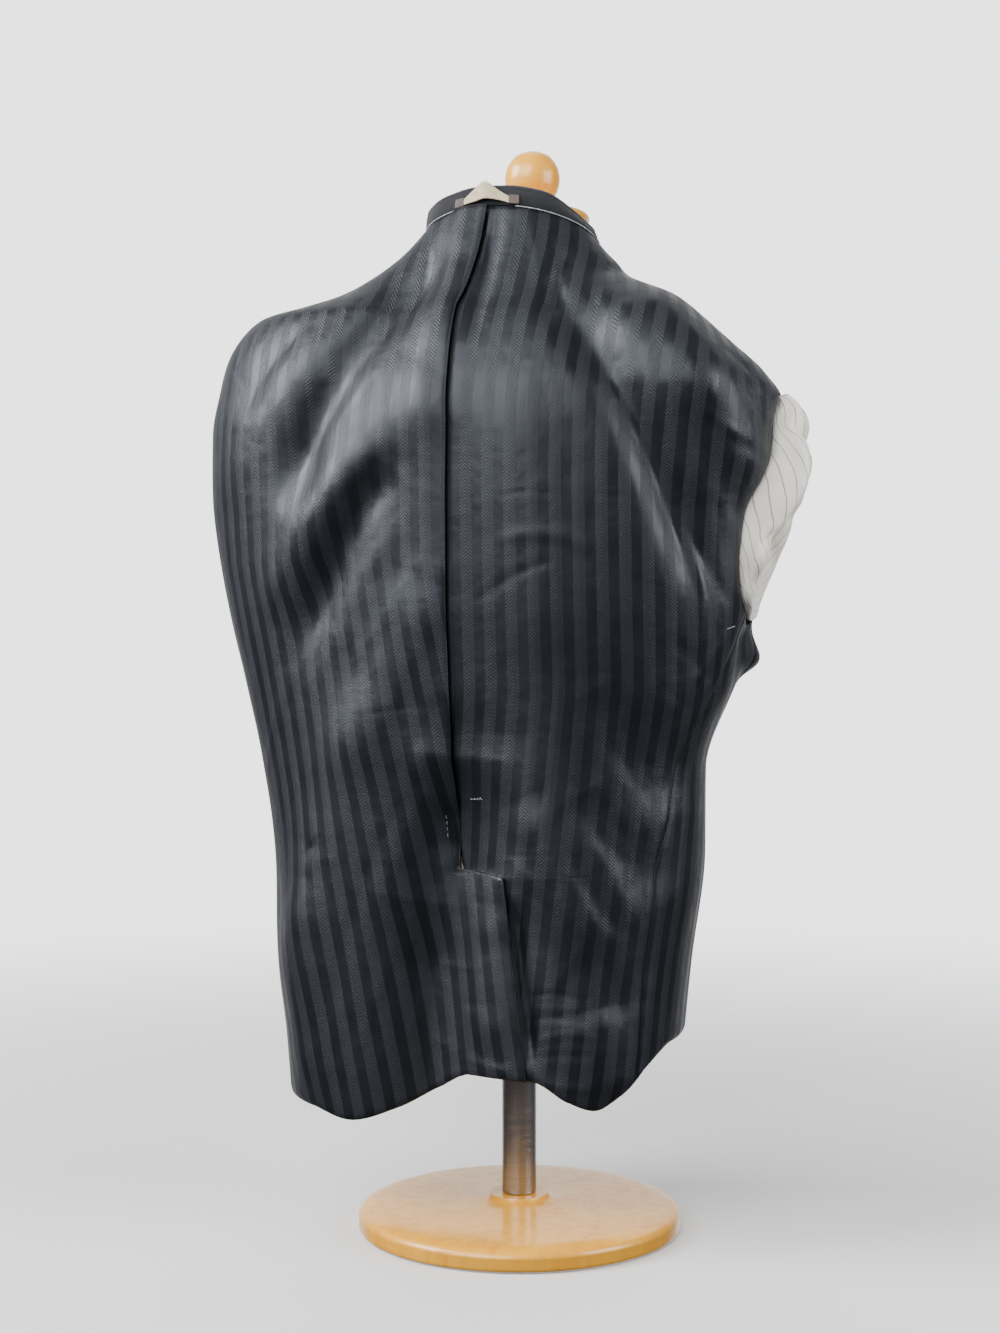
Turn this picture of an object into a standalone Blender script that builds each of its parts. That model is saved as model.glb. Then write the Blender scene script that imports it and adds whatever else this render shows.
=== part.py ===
"""A man's blazer worn inside out on a limbless dress form, the lining outward.

Frame: +Z up, metres, the form faces -Y, its left side is +X, the origin is under the foot's centre.
Every cloth piece is a thin shell on one body surface. BODY gives its rings, FOLDS and ROLLS its
large folds, SEAMS, FRONTS and ARMHOLE the edges of the pieces. Angles are degrees round the body
from the centre back, plus towards the form's right.
"""
import bpy
import math
import numpy as np

# Driving sizes, metres
WALL = 0.0020           # wall of every cloth piece
SLEEVE_LINING_WALL = 0.0014
LOOP_WALL = 0.0011
SEAM_GAP = 0.0009       # between two pieces along a seam
CENTRE_GAP = 0.0018     # between the backs where they meet edge to edge
SEAM_FOOT = 0.040       # share of the armhole's height where the side seams end
HEM_BLEND = 0.250       # height above which the hem's wave no longer moves a row
LEAN = 0.046            # rise of the shoulders to the left, for a metre across
SQUARENESS = 2.25       # exponent of the body's rings
PLEAT_UNDERLAP = 0.014  # right back under left back along the centre pleat
PLEAT_LIFT = 0.0046     # left back raised over it
PLEAT_END = 0.405       # height of the pleat's lower end
VENT_TOP = 0.338        # height of the vent's upper end
VENT_LIFT = 0.0050      # left back's vent flap raised over the right back
VENT_DIP = 0.0080       # right back dipping away beside the slit
LAPEL_DEPTH = 0.0090    # lapel and turned front edge, behind the facing
NECK_HEIGHT = 0.921     # height of the neck seam at the sides
SLEEVE_CLEAR = 0.0100   # body cloth's outer face to the tucked sleeve
SLEEVE_THICK = 0.0240   # a tucked sleeve, front to back of its flat tube
SLEEVE_TOP = 0.545      # height where a tucked sleeve has become a flat tube
CUFF_HEIGHT = {"left": 0.190, "right": 0.212}
POINT_HEIGHT = {"left": 0.847, "right": 0.784}     # top of the armhole
UNDERARM_HEIGHT = {"left": 0.572, "right": 0.560}  # foot of the armhole
BUTTON_RADIUS = 0.0100
BUTTON_THICK = 0.0034
FOOT_RADIUS = 0.150
POST_RADIUS = 0.016
NECK_CENTRE = (-0.003, -0.036)

# Body rings: name, height, half-width left, half-width right, back, front, shift to the left, nape rise
BODY = (
    ("below hem", 0.080, 0.1980, 0.163, 0.136, 0.128, 0.018, 0.000),
    ("hem", 0.160, 0.2035, 0.170, 0.134, 0.130, 0.018, 0.000),
    ("hip", 0.250, 0.2135, 0.179, 0.129, 0.130, 0.018, 0.000),
    ("low waist", 0.350, 0.2195, 0.192, 0.122, 0.128, 0.018, 0.000),
    ("waist", 0.430, 0.2330, 0.193, 0.118, 0.125, 0.018, 0.000),
    ("high waist", 0.510, 0.2520, 0.221, 0.120, 0.126, 0.018, 0.000),
    ("underarm", 0.580, 0.2690, 0.239, 0.126, 0.130, 0.018, 0.000),
    ("chest", 0.680, 0.2850, 0.250, 0.132, 0.130, 0.018, 0.000),
    ("blade", 0.735, 0.2860, 0.257, 0.133, 0.122, 0.017, 0.000),
    ("right point", 0.772, 0.2800, 0.262, 0.130, 0.113, 0.016, 0.000),
    ("upper back", 0.800, 0.2740, 0.245, 0.122, 0.104, 0.015, 0.000),
    ("yoke", 0.822, 0.2630, 0.218, 0.113, 0.095, 0.014, 0.000),
    ("left point", 0.843, 0.2410, 0.187, 0.102, 0.085, 0.013, 0.000),
    ("left pad", 0.851, 0.2100, 0.172, 0.096, 0.079, 0.012, 0.001),
    ("mid shoulder", 0.863, 0.1670, 0.147, 0.089, 0.072, 0.011, 0.002),
    ("neck slope", 0.880, 0.1330, 0.117, 0.079, 0.064, 0.009, 0.006),
    ("neck base", 0.900, 0.1050, 0.098, 0.068, 0.057, 0.007, 0.012),
    ("neck seam", 0.921, 0.0825, 0.0815, 0.057, 0.050, 0.0065, 0.021),
)

# Large folds on a face (1 back, -1 front), a curved path start, bend, end as x and height;
# half-width of the fold, height out of the cloth (minus is a valley)
FOLDS = (
    ("left shoulder valley", 1, 0.050, 0.892, 0.172, 0.767, 0.190, 0.650, 0.021, -0.0140),
    ("left shoulder ridge in", 1, 0.045, 0.830, 0.120, 0.740, 0.135, 0.650, 0.026, 0.0060),
    ("left shoulder ridge out", 1, 0.135, 0.840, 0.215, 0.770, 0.232, 0.690, 0.020, 0.0060),
    ("left sleeve-head dimple", 1, 0.165, 0.820, 0.200, 0.790, 0.213, 0.745, 0.013, -0.0055),
    ("left blade valley", 1, 0.082, 0.700, 0.128, 0.650, 0.192, 0.505, 0.020, -0.0120),
    ("left blade ridge", 1, 0.105, 0.720, 0.185, 0.640, 0.215, 0.560, 0.024, 0.0060),
    ("left waist ridge", 1, 0.050, 0.600, 0.090, 0.500, 0.165, 0.400, 0.028, 0.0060),
    ("left seat valley", 1, 0.030, 0.440, 0.075, 0.370, 0.140, 0.150, 0.030, -0.0130),
    ("left hem cone", 1, 0.175, 0.330, 0.180, 0.220, 0.168, 0.110, 0.026, 0.0070),
    ("left side dimple", 1, 0.160, 0.366, 0.156, 0.362, 0.152, 0.356, 0.013, -0.0040),
    ("vent hollow", 1, 0.062, 0.366, 0.022, 0.348, -0.020, 0.362, 0.014, -0.0070),
    ("vent flap swell", 1, 0.018, 0.318, 0.012, 0.250, 0.004, 0.150, 0.024, 0.0075),
    ("pleat mouth", 1, 0.003, 0.935, 0.008, 0.880, 0.012, 0.800, 0.009, -0.0040),
    ("pleat return", 1, 0.040, 0.930, 0.038, 0.860, 0.036, 0.780, 0.013, 0.0030),
    ("right drag valley", 1, -0.066, 0.866, -0.162, 0.722, -0.199, 0.556, 0.015, -0.0150),
    ("right drag ridge", 1, -0.086, 0.892, -0.172, 0.740, -0.214, 0.566, 0.016, 0.0120),
    ("right neck pucker", 1, -0.064, 0.900, -0.060, 0.870, -0.052, 0.820, 0.009, -0.0040),
    ("right yoke swell", 1, -0.110, 0.840, -0.160, 0.800, -0.215, 0.740, 0.026, 0.0050),
    ("right blade drape", 1, -0.030, 0.780, -0.050, 0.640, -0.060, 0.480, 0.030, 0.0040),
    ("right waist valley one", 1, -0.092, 0.500, -0.120, 0.440, -0.150, 0.395, 0.020, -0.0060),
    ("right waist valley two", 1, -0.082, 0.420, -0.110, 0.365, -0.146, 0.325, 0.019, -0.0070),
    ("right seat ridge", 1, -0.022, 0.400, -0.060, 0.345, -0.082, 0.260, 0.015, 0.0075),
    ("right seat valley", 1, -0.060, 0.255, -0.085, 0.230, -0.118, 0.225, 0.020, -0.0050),
    ("right hem cone", 1, -0.090, 0.225, -0.096, 0.180, -0.100, 0.120, 0.024, 0.0090),
    ("front left drag", -1, 0.110, 0.850, 0.165, 0.720, 0.225, 0.590, 0.022, -0.0100),
    ("front left chest ridge", -1, 0.080, 0.780, 0.140, 0.650, 0.200, 0.520, 0.026, 0.0070),
    ("front left skirt valley", -1, 0.160, 0.420, 0.130, 0.280, 0.120, 0.120, 0.024, -0.0080),
    ("front left skirt cone", -1, 0.090, 0.330, 0.080, 0.220, 0.075, 0.110, 0.024, 0.0060),
    ("front right drag", -1, -0.090, 0.840, -0.150, 0.720, -0.200, 0.600, 0.020, -0.0110),
    ("front right chest ridge", -1, -0.070, 0.770, -0.115, 0.640, -0.175, 0.520, 0.026, 0.0070),
    ("front right skirt valley", -1, -0.130, 0.430, -0.105, 0.290, -0.090, 0.130, 0.022, -0.0070),
    ("front right skirt cone", -1, -0.060, 0.320, -0.055, 0.220, -0.050, 0.120, 0.022, 0.0050),
)

# Local rolls of cloth: angle, height, half-angle, half-height, height out of the cloth
ROLLS = (
    ("right underarm lobe", 113.0, 0.534, 14.0, 0.0180, 0.0210),
    ("right underarm tuck", 88.0, 0.548, 9.0, 0.0200, -0.0050),
    ("left underarm roll", -104.0, 0.545, 14.0, 0.0220, 0.0060),
)

# Seams: height, right back to side, left back to side, side to front (either side)
SEAMS = (
    ("below hem", 0.080, 56.0, 78.0, 108.0),
    ("hem", 0.160, 56.0, 78.0, 108.0),
    ("hip", 0.260, 55.6, 78.0, 107.0),
    ("low waist", 0.330, 55.5, 78.5, 106.0),
    ("waist", 0.394, 61.5, 79.5, 104.0),
    ("high waist", 0.466, 68.5, 81.0, 103.0),
    ("side", 0.509, 73.0, 82.5, 101.5),
    ("under side", 0.540, 77.3, 84.0, 101.3),
)

# Centre back: height, edge of the left back (the pleat's fold, then the vent's slit), right back's own edge
CENTRE_BACK = (
    ("hem", 0.080, 25.0, -1.2),
    ("vent low", 0.165, 22.0, -1.2),
    ("vent mid", 0.224, 19.0, -1.2),
    ("vent high", 0.277, 16.3, -1.2),
    ("vent top", 0.338, 13.4, -1.2),
    ("vent jog", 0.344, -1.2, -1.2),
    ("pleat end", 0.405, -1.2, -1.2),
    ("waist", 0.580, -0.6, -0.6),
    ("blade", 0.738, -0.3, -0.3),
    ("yoke", 0.818, -1.5, -1.5),
    ("slope", 0.887, -2.8, -2.8),
    ("neck", 0.925, -3.7, -3.7),
)

# Fronts: height, facing seam from the centre, front edge or lapel roll from the centre, lapel width
FRONTS = (
    ("below hem", 0.080, 0.086, 0.034, 0.010),
    ("corner", 0.130, 0.086, 0.029, 0.010),
    ("hem", 0.180, 0.086, 0.021, 0.010),
    ("skirt", 0.260, 0.085, 0.016, 0.010),
    ("buttons", 0.440, 0.082, 0.013, 0.010),
    ("break", 0.560, 0.082, 0.013, 0.012),
    ("lapel low", 0.630, 0.088, 0.024, 0.034),
    ("lapel mid", 0.710, 0.098, 0.040, 0.056),
    ("lapel high", 0.780, 0.106, 0.053, 0.070),
    ("lapel point", 0.825, 0.108, 0.061, 0.066),
    ("gorge", 0.855, 0.105, 0.067, 0.034),
    ("neck slope", 0.880, 0.098, 0.072, 0.009),
    ("neck base", 0.900, 0.0885, 0.0755, 0.008),
    ("neck seam", 0.921, 0.0795, 0.0740, 0.006),
)

# Armhole: share of its height, back edge, front edge of the right one, and the same of the left
ARMHOLE = (
    ("foot", 0.000, 91.5, 91.5, 92.0, 92.0),
    ("foot curve", 0.010, 86.5, 96.5, 88.0, 96.5),
    ("low", 0.040, 81.0, 101.5, 85.0, 101.0),
    ("scye low", 0.090, 75.5, 107.5, 82.0, 106.0),
    ("scye", 0.170, 71.8, 112.5, 80.0, 110.0),
    ("widest", 0.290, 69.8, 115.5, 78.8, 112.0),
    ("middle", 0.450, 70.8, 115.5, 78.4, 111.5),
    ("upper", 0.600, 74.0, 112.5, 79.0, 109.0),
    ("high", 0.770, 78.5, 107.5, 80.5, 105.0),
    ("head", 0.920, 82.5, 101.0, 83.5, 99.0),
    ("point", 1.000, 90.0, 90.0, 90.0, 90.0),
)

# Hem height round the body
HEM = (
    ("front left corner", -180.0, 0.150), ("front left", -172.0, 0.133), ("left of front", -163.0, 0.119),
    ("left pocket", -140.0, 0.113), ("left side front", -110.0, 0.119), ("left side", -75.0, 0.125),
    ("left cone edge", -46.0, 0.122), ("left cone", -33.0, 0.1145), ("left of cone", -20.0, 0.1275),
    ("left of back", -9.0, 0.1475), ("centre back", 1.0, 0.1630), ("slit", 22.0, 0.1600),
    ("right of slit", 33.0, 0.1430), ("right cone", 42.0, 0.1350), ("right cone edge", 51.0, 0.1470),
    ("right seam", 60.0, 0.1690), ("right side", 76.0, 0.1860), ("right side front", 105.0, 0.1880),
    ("right pocket", 135.0, 0.1560), ("right of front", 160.0, 0.1340), ("front right", 172.0, 0.1400),
    ("front right corner", 180.0, 0.1520),
)

# Heights of the rows of points
ROW_HEIGHTS = (0.160, 0.176, 0.195, 0.218, 0.244, 0.270, 0.296, 0.320, 0.3375, 0.3445, 0.360, 0.382, 0.405,
               0.430, 0.456, 0.482, 0.511, 0.540, 0.569, 0.583, 0.608, 0.634, 0.660, 0.686, 0.712, 0.738,
               0.762, 0.784, 0.806, 0.827, 0.847, 0.860, 0.876, 0.894, 0.908, 0.921)

# Collar: round the neck, height of the stand, how far the stand leans in
COLLAR = (
    ("left end", -108.0, 0.0165, 0.0015), ("left", -70.0, 0.0165, 0.0020), ("left back", -30.0, 0.0150, 0.0030),
    ("back", 0.0, 0.0155, 0.0035), ("right back", 30.0, 0.0155, 0.0035), ("right", 65.0, 0.0080, 0.0030),
    ("right end", 108.0, 0.0070, 0.0020),
)

# Sleeve lining coming out of the right armhole: share of the hole's radius, how far out
PUFF = (
    ("mouth", 0.930, -0.0026), ("swell", 0.935, 0.0120), ("side", 0.945, 0.0270), ("shoulder", 0.900, 0.0380),
    ("crest", 0.800, 0.0440), ("fall", 0.640, 0.0400), ("throat", 0.510, 0.0240), ("in", 0.460, 0.0040),
    ("end", 0.440, -0.0140),
)
# Share of the puff's height, by height up the hole and at its back and front
PUFF_SWELL = (
    ("foot", 0.00, 0.08), ("low", 0.15, 0.34), ("lower", 0.30, 0.70), ("middle", 0.50, 0.98), ("main", 0.68, 0.98),
    ("main top", 0.79, 0.90), ("crease", 0.86, 0.62), ("upper roll", 0.93, 0.66), ("point", 1.00, 0.36),
)
# The puff's own folds: where round the hole, half-width round, height
PUFF_FOLDS = (
    ("back low", 0.10, 0.030, -0.0040), ("back crease", 0.19, 0.022, -0.0050), ("back lobe", 0.26, 0.035, 0.0030),
    ("top crease", 0.41, 0.020, -0.0040), ("front lobe", 0.62, 0.040, 0.0030), ("front crease", 0.74, 0.030, -0.0050),
    ("front low", 0.88, 0.030, -0.0030),
)
# Sleeve lining falling into the left armhole: share of the hole's radius, how far out
FUNNEL = (
    ("mouth", 0.972, -0.0018), ("lip", 0.900, -0.0034), ("slope", 0.790, -0.0060), ("throat", 0.680, -0.0085),
    ("end", 0.580, -0.0110),
)
# Tucked sleeve: height share from its top down, centre angle, half-angle, thickness share, own fold
SLEEVE = (
    ("top", 0.00, 92.0, 30.0, 1.00, 0.0), ("upper", 0.16, 94.0, 32.0, 1.00, 1.0), ("elbow up", 0.36, 97.0, 32.0, 0.92, -1.0),
    ("elbow", 0.52, 100.0, 30.0, 0.95, 1.0), ("lower", 0.72, 102.0, 28.0, 0.85, -0.7), ("wrist", 0.90, 103.0, 26.0, 0.80, 0.5),
    ("cuff", 1.00, 103.5, 25.0, 0.80, 0.0),
)

# Form rings: height, half-width, back, front, centre x, centre y
FORM = (
    ("edge under", 0.2150, 0.106, 0.080, 0.082, 0.000, 0.000),
    ("edge", 0.2210, 0.114, 0.087, 0.089, 0.000, 0.000),
    ("hip", 0.2600, 0.118, 0.090, 0.092, 0.000, 0.000),
    ("low waist", 0.3500, 0.121, 0.088, 0.093, 0.000, 0.000),
    ("waist", 0.4300, 0.125, 0.086, 0.094, 0.000, 0.000),
    ("ribs", 0.5200, 0.138, 0.093, 0.100, 0.000, 0.000),
    ("chest low", 0.6200, 0.156, 0.101, 0.106, 0.000, 0.000),
    ("chest", 0.6900, 0.166, 0.104, 0.103, 0.000, 0.000),
    ("upper chest", 0.7500, 0.174, 0.099, 0.090, 0.000, 0.000),
    ("arm cap", 0.7950, 0.177, 0.088, 0.074, 0.000, 0.000),
    ("shoulder end", 0.8200, 0.171, 0.078, 0.062, 0.000, 0.000),
    ("shoulder", 0.8400, 0.154, 0.069, 0.054, 0.000, 0.000),
    ("slope out", 0.8560, 0.130, 0.062, 0.049, 0.000, 0.000),
    ("slope in", 0.8720, 0.096, 0.056, 0.047, 0.000, -0.003),
    ("neck foot", 0.8880, 0.066, 0.050, 0.048, -0.001, -0.010),
    ("neck low", 0.9040, 0.055, 0.047, 0.047, -0.002, -0.019),
    ("neck", 0.9240, 0.051, 0.046, 0.047, -0.003, -0.028),
    ("neck top", 0.9440, 0.051, 0.046, 0.048, -0.003, -0.036),
)
# Turned pieces: radius, height
CAP = ((0.0470, 0.9444), (0.0530, 0.9460), (0.0545, 0.9490), (0.0530, 0.9525), (0.0420, 0.9550), (0.0200, 0.9560))
KNOB = ((0.0150, 0.9564), (0.0165, 0.9580), (0.0130, 0.9605), (0.0125, 0.9635), (0.0165, 0.9660), (0.0215, 0.9725),
        (0.0250, 0.9800), (0.0262, 0.9880), (0.0250, 0.9960), (0.0215, 1.0035), (0.0160, 1.0095), (0.0085, 1.0130))
FOOT = ((0.1460, 0.0000), (0.1500, 0.0030), (0.1500, 0.0130), (0.1460, 0.0180), (0.1320, 0.0210), (0.0420, 0.0245),
        (0.0300, 0.0270), (0.0270, 0.0310))
POST = ((0.0160, 0.0314), (0.0160, 0.2146))

# Colours: name, red, green, blue, roughness, metal
COLOURS = {
    "lining": ("lining satin", 0.035, 0.040, 0.052, 0.38, 0.0),
    "cloth": ("dark wool cloth", 0.012, 0.013, 0.017, 0.85, 0.0),
    "sleeve lining": ("pale sleeve lining", 0.80, 0.78, 0.74, 0.55, 0.0),
    "loop": ("woven loop", 0.66, 0.58, 0.40, 0.60, 0.0),
    "loop end": ("brown woven end", 0.12, 0.085, 0.080, 0.70, 0.0),
    "button": ("dark horn button", 0.020, 0.018, 0.018, 0.35, 0.0),
    "form": ("form cover", 0.62, 0.55, 0.45, 0.90, 0.0),
    "wood": ("honey wood", 0.80, 0.36, 0.055, 0.32, 0.0),
    "post": ("brushed post", 0.45, 0.45, 0.46, 0.35, 1.0),
}


def columns(rows, first=1):
    """The numbers of a named table, a row of the array for each of its rows."""
    return np.array([row[first:] for row in rows], float)


def smooth_through(keys, values, where):
    """Values of a table between its keys, smooth and without overshoot."""
    keys, values = np.asarray(keys, float), np.asarray(values, float)
    where = np.clip(np.asarray(where, float), keys[0], keys[-1])
    step = np.diff(keys)
    slope = np.diff(values) / step
    grade = np.zeros(len(keys))
    inner = slope[:-1] * slope[1:] > 0
    grade[1:-1][inner] = 2.0 * slope[:-1][inner] * slope[1:][inner] / (slope[:-1][inner] + slope[1:][inner])
    grade[0], grade[-1] = slope[0], slope[-1]
    k = np.clip(np.searchsorted(keys, where, side="right") - 1, 0, len(keys) - 2)
    f = (where - keys[k]) / step[k]
    return ((2 * f**3 - 3 * f**2 + 1) * values[k] + (f**3 - 2 * f**2 + f) * grade[k] * step[k]
            + (3 * f**2 - 2 * f**3) * values[k + 1] + (f**3 - f**2) * grade[k + 1] * step[k])


def ease(value):
    value = np.clip(value, 0.0, 1.0)
    return value * value * (3.0 - 2.0 * value)


BODY_ROWS = columns(BODY)
FOLD_ROWS = columns(FOLDS)
ROLL_ROWS = columns(ROLLS)
SEAM_ROWS = columns(SEAMS)
CENTRE_ROWS = columns(CENTRE_BACK)
FRONT_ROWS = columns(FRONTS)
HOLE_ROWS = columns(ARMHOLE)
HEM_ROWS = columns(HEM)
LEVELS = np.arange(len(BODY_ROWS), dtype=float)
FINE_LEVELS = np.linspace(0.0, LEVELS[-1], 1600)
FINE_HEIGHTS = smooth_through(LEVELS, BODY_ROWS[:, 0], FINE_LEVELS)


def ring(angle, height):
    """Point of the plain body at an angle and a height, before any fold."""
    angle, height = np.broadcast_arrays(np.radians(angle), np.asarray(height, float))
    level = np.interp(height, FINE_HEIGHTS, FINE_LEVELS)
    level = level + np.where(height > FINE_HEIGHTS[-1], (height - FINE_HEIGHTS[-1]) / 0.021, 0.0)
    over = np.clip(level - LEVELS[-1], 0.0, None)
    left, right, back, front, shift, nape = (smooth_through(LEVELS, BODY_ROWS[:, k], level) for k in range(1, 7))
    s, c = np.sin(angle), np.cos(angle)
    q = (np.abs(s) ** SQUARENESS + np.abs(c) ** SQUARENESS) ** (1.0 / SQUARENESS)
    wide = np.where(s < 0, left, right) - 0.022 * over
    deep = np.where(c > 0, back, front) - 0.010 * over
    rise = nape * (np.clip(c, 0, 1) ** 1.5 - 0.8 * np.clip(-c, 0, 1) ** 1.5)
    flat_height = smooth_through(LEVELS, BODY_ROWS[:, 0], level) + 0.021 * over
    across = shift - wide * s / q
    rise = rise + LEAN * across * ease((height - 0.60) / 0.22)
    return np.stack([across, deep * c / q, flat_height + rise], axis=-1)


def unit(vector):
    return vector / np.maximum(np.linalg.norm(vector, axis=-1, keepdims=True), 1e-12)


def slope_normal(surface, u, v, du, dv):
    """Outward normal of a surface given as a function of two numbers."""
    return unit(np.cross(surface(u + du, v) - surface(u - du, v), surface(u, v + dv) - surface(u, v - dv)))


def ring_normal(angle, height):
    return slope_normal(ring, angle, height, 0.5, 0.0006)


def fold_height(angle, point):
    """Height of all folds and rolls at points of the body."""
    total = np.zeros(point.shape[:-1])
    facing_back = np.cos(np.radians(angle))
    t = np.linspace(0.0, 1.0, 25)
    for face, x0, z0, x1, z1, x2, z2, half, high in FOLD_ROWS:
        px = (1 - t) ** 2 * x0 + 2 * t * (1 - t) * x1 + t**2 * x2
        pz = (1 - t) ** 2 * z0 + 2 * t * (1 - t) * z1 + t**2 * z2
        near = np.min((point[..., 0, None] - px) ** 2 + (point[..., 2, None] - pz) ** 2, axis=-1)
        total += high * np.exp(-near / half**2) * ease(0.5 + face * facing_back / 0.30)
    for middle, height, half_angle, half_height, high in ROLL_ROWS:
        away = (((angle - middle + 180.0) % 360.0 - 180.0) / half_angle) ** 2
        total += high * np.exp(-away - ((point[..., 2] - height) / half_height) ** 2)
    return total


def skin(angle, height, out=0.0):
    """The draped body surface, moved out along the plain body's normal."""
    angle, height = np.broadcast_arrays(np.asarray(angle, float), np.asarray(height, float))
    point = ring(angle, height)
    return point + ring_normal(angle, height) * (fold_height(angle, point) + out)[..., None]


def along(angle, height):
    """Metres of cloth for a degree round the body."""
    return np.linalg.norm(ring(angle + 0.5, height) - ring(angle - 0.5, height), axis=-1)


def hem_row(angle, height):
    """Height of a row where the hem's wave pulls it."""
    hem = smooth_through(HEM_ROWS[:, 0], HEM_ROWS[:, 1], (np.asarray(angle) + 180.0) % 360.0 - 180.0)
    share = (height - ROW_HEIGHTS[0]) / (HEM_BLEND - ROW_HEIGHTS[0])
    return np.where(height < HEM_BLEND, hem + share * (HEM_BLEND - hem), height)


def angle_at(x, height, side):
    """Angle on the front where the body is x from its centre."""
    sign = 1.0 if side == "right" else -1.0
    found = []
    for far, high in zip(np.atleast_1d(x), np.atleast_1d(height)):
        fine = np.linspace(180.0, 92.0, 177)
        line = ring(sign * fine, high)
        middle = ring(180.0, high)[0]
        found.append(np.interp(far, np.abs(line[:, 0] - middle), fine))
    return sign * np.array(found)


def hole_edge(side, height, back):
    """Angle of the armhole's back or front edge at a height, and whether the height is within it."""
    low, high = UNDERARM_HEIGHT[side], POINT_HEIGHT[side]
    share = (height - low) / (high - low)
    column = (1 if back else 2) + (0 if side == "right" else 2)
    return smooth_through(HOLE_ROWS[:, 0], HOLE_ROWS[:, column], share), share


def side_corner(side, back):
    """Height and angle where a side seam ends at the armhole."""
    height = UNDERARM_HEIGHT[side] + SEAM_FOOT * (POINT_HEIGHT[side] - UNDERARM_HEIGHT[side])
    return height, float(hole_edge(side, height, back)[0])


def side_edge(side, height, back):
    """Angle (without its sign) of the outer edge of the back or of the front at a height."""
    column = 3 if not back else (1 if side == "right" else 2)
    corner, angle = side_corner(side, back)
    seam = smooth_through(np.append(SEAM_ROWS[:, 0], corner), np.append(SEAM_ROWS[:, column], angle), height)
    hole, share = hole_edge(side, height, back)
    return np.where(share >= 1.0 - 1e-9, 90.0, np.where(share <= SEAM_FOOT + 1e-9, seam, hole))


def hole_loop(side, count):
    """Points of the armhole as angle (signed) and height: foot, back edge, point, front edge."""
    w = np.linspace(0.0, 1.0, 60)
    share = (1.0 - np.cos(math.pi * w)) / 2.0
    low, high = UNDERARM_HEIGHT[side], POINT_HEIGHT[side]
    first = 1 if side == "right" else 3
    back = smooth_through(HOLE_ROWS[:, 0], HOLE_ROWS[:, first], share)
    front = smooth_through(HOLE_ROWS[:, 0], HOLE_ROWS[:, first + 1], share)
    angle = np.concatenate([back, front[::-1][1:]]) * (1.0 if side == "right" else -1.0)
    height = low + (high - low) * np.concatenate([share, share[::-1][1:]])
    steps = np.linalg.norm(np.diff(ring(angle, height), axis=0), axis=1)
    length = np.concatenate([[0.0], np.cumsum(steps)]) / steps.sum()
    where = np.arange(count) / count
    return np.interp(where, length, angle), np.interp(where, length, height)


# Building meshes

def clear_scene():
    for thing in list(bpy.data.objects):
        bpy.data.objects.remove(thing, do_unlink=True)


def make_material(key):
    name, red, green, blue, rough, metal = COLOURS[key]
    material = bpy.data.materials.get(name) or bpy.data.materials.new(name)
    material.use_nodes = True
    shader = material.node_tree.nodes["Principled BSDF"]
    shader.inputs["Base Color"].default_value = (red, green, blue, 1.0)
    shader.inputs["Roughness"].default_value = rough
    shader.inputs["Metallic"].default_value = metal
    material.diffuse_color = (red, green, blue, 1.0)
    return material


def add_mesh(name, points, faces, colour):
    mesh = bpy.data.meshes.new(name)
    mesh.from_pydata([tuple(p) for p in points], [], [tuple(f) for f in faces])
    mesh.materials.append(make_material(colour))
    mesh.update()
    thing = bpy.data.objects.new(name, mesh)
    PART.objects.link(thing)
    return thing


def grid_faces(rows, cols, start, flip, around, cross=None):
    """Triangles of a grid of points; cross tells which squares are cut along their other diagonal."""
    faces = []
    for j in range(rows - 1):
        for i in range(cols if around else cols - 1):
            a, b = start + j * cols + i, start + j * cols + (i + 1) % cols
            c, d = b + cols, a + cols
            two = [(a, b, d), (b, c, d)] if cross is not None and cross[j, i] else [(a, b, c), (a, c, d)]
            faces += [face[::-1] for face in two] if flip else two
    return faces


def better_diagonal(surface, u, v, outer):
    """Squares whose other diagonal lies closer to the surface."""
    middle = surface((u[:-1, :-1] + u[1:, :-1] + u[:-1, 1:] + u[1:, 1:]) / 4.0,
                     (v[:-1, :-1] + v[1:, :-1] + v[:-1, 1:] + v[1:, 1:]) / 4.0)
    first = (outer[:-1, :-1] + outer[1:, 1:]) / 2.0 - middle
    other = (outer[:-1, 1:] + outer[1:, :-1]) / 2.0 - middle
    return np.linalg.norm(other, axis=-1) < np.linalg.norm(first, axis=-1)


def shell(name, surface, u, v, du, dv, colour, wall=WALL):
    """A sheet of even wall on a surface function: its outer face and one a wall's depth inside."""
    outer = surface(u, v)
    inner = outer - slope_normal(surface, u, v, du, dv) * wall
    rows, cols = u.shape
    count = rows * cols
    points = np.concatenate([outer.reshape(-1, 3), inner.reshape(-1, 3)])
    cross = better_diagonal(surface, u, v, outer)
    faces = grid_faces(rows, cols, 0, False, False, cross) + grid_faces(rows, cols, count, True, False, cross)
    loop = list(range(cols)) + [j * cols + cols - 1 for j in range(1, rows)]
    loop += [(rows - 1) * cols + i for i in range(cols - 2, -1, -1)] + [j * cols for j in range(rows - 2, 0, -1)]
    for a, b in zip(loop, loop[1:] + loop[:1]):
        faces += [(b, a, a + count), (b, a + count, b + count)]
    return add_mesh(name, points, faces, colour)


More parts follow.
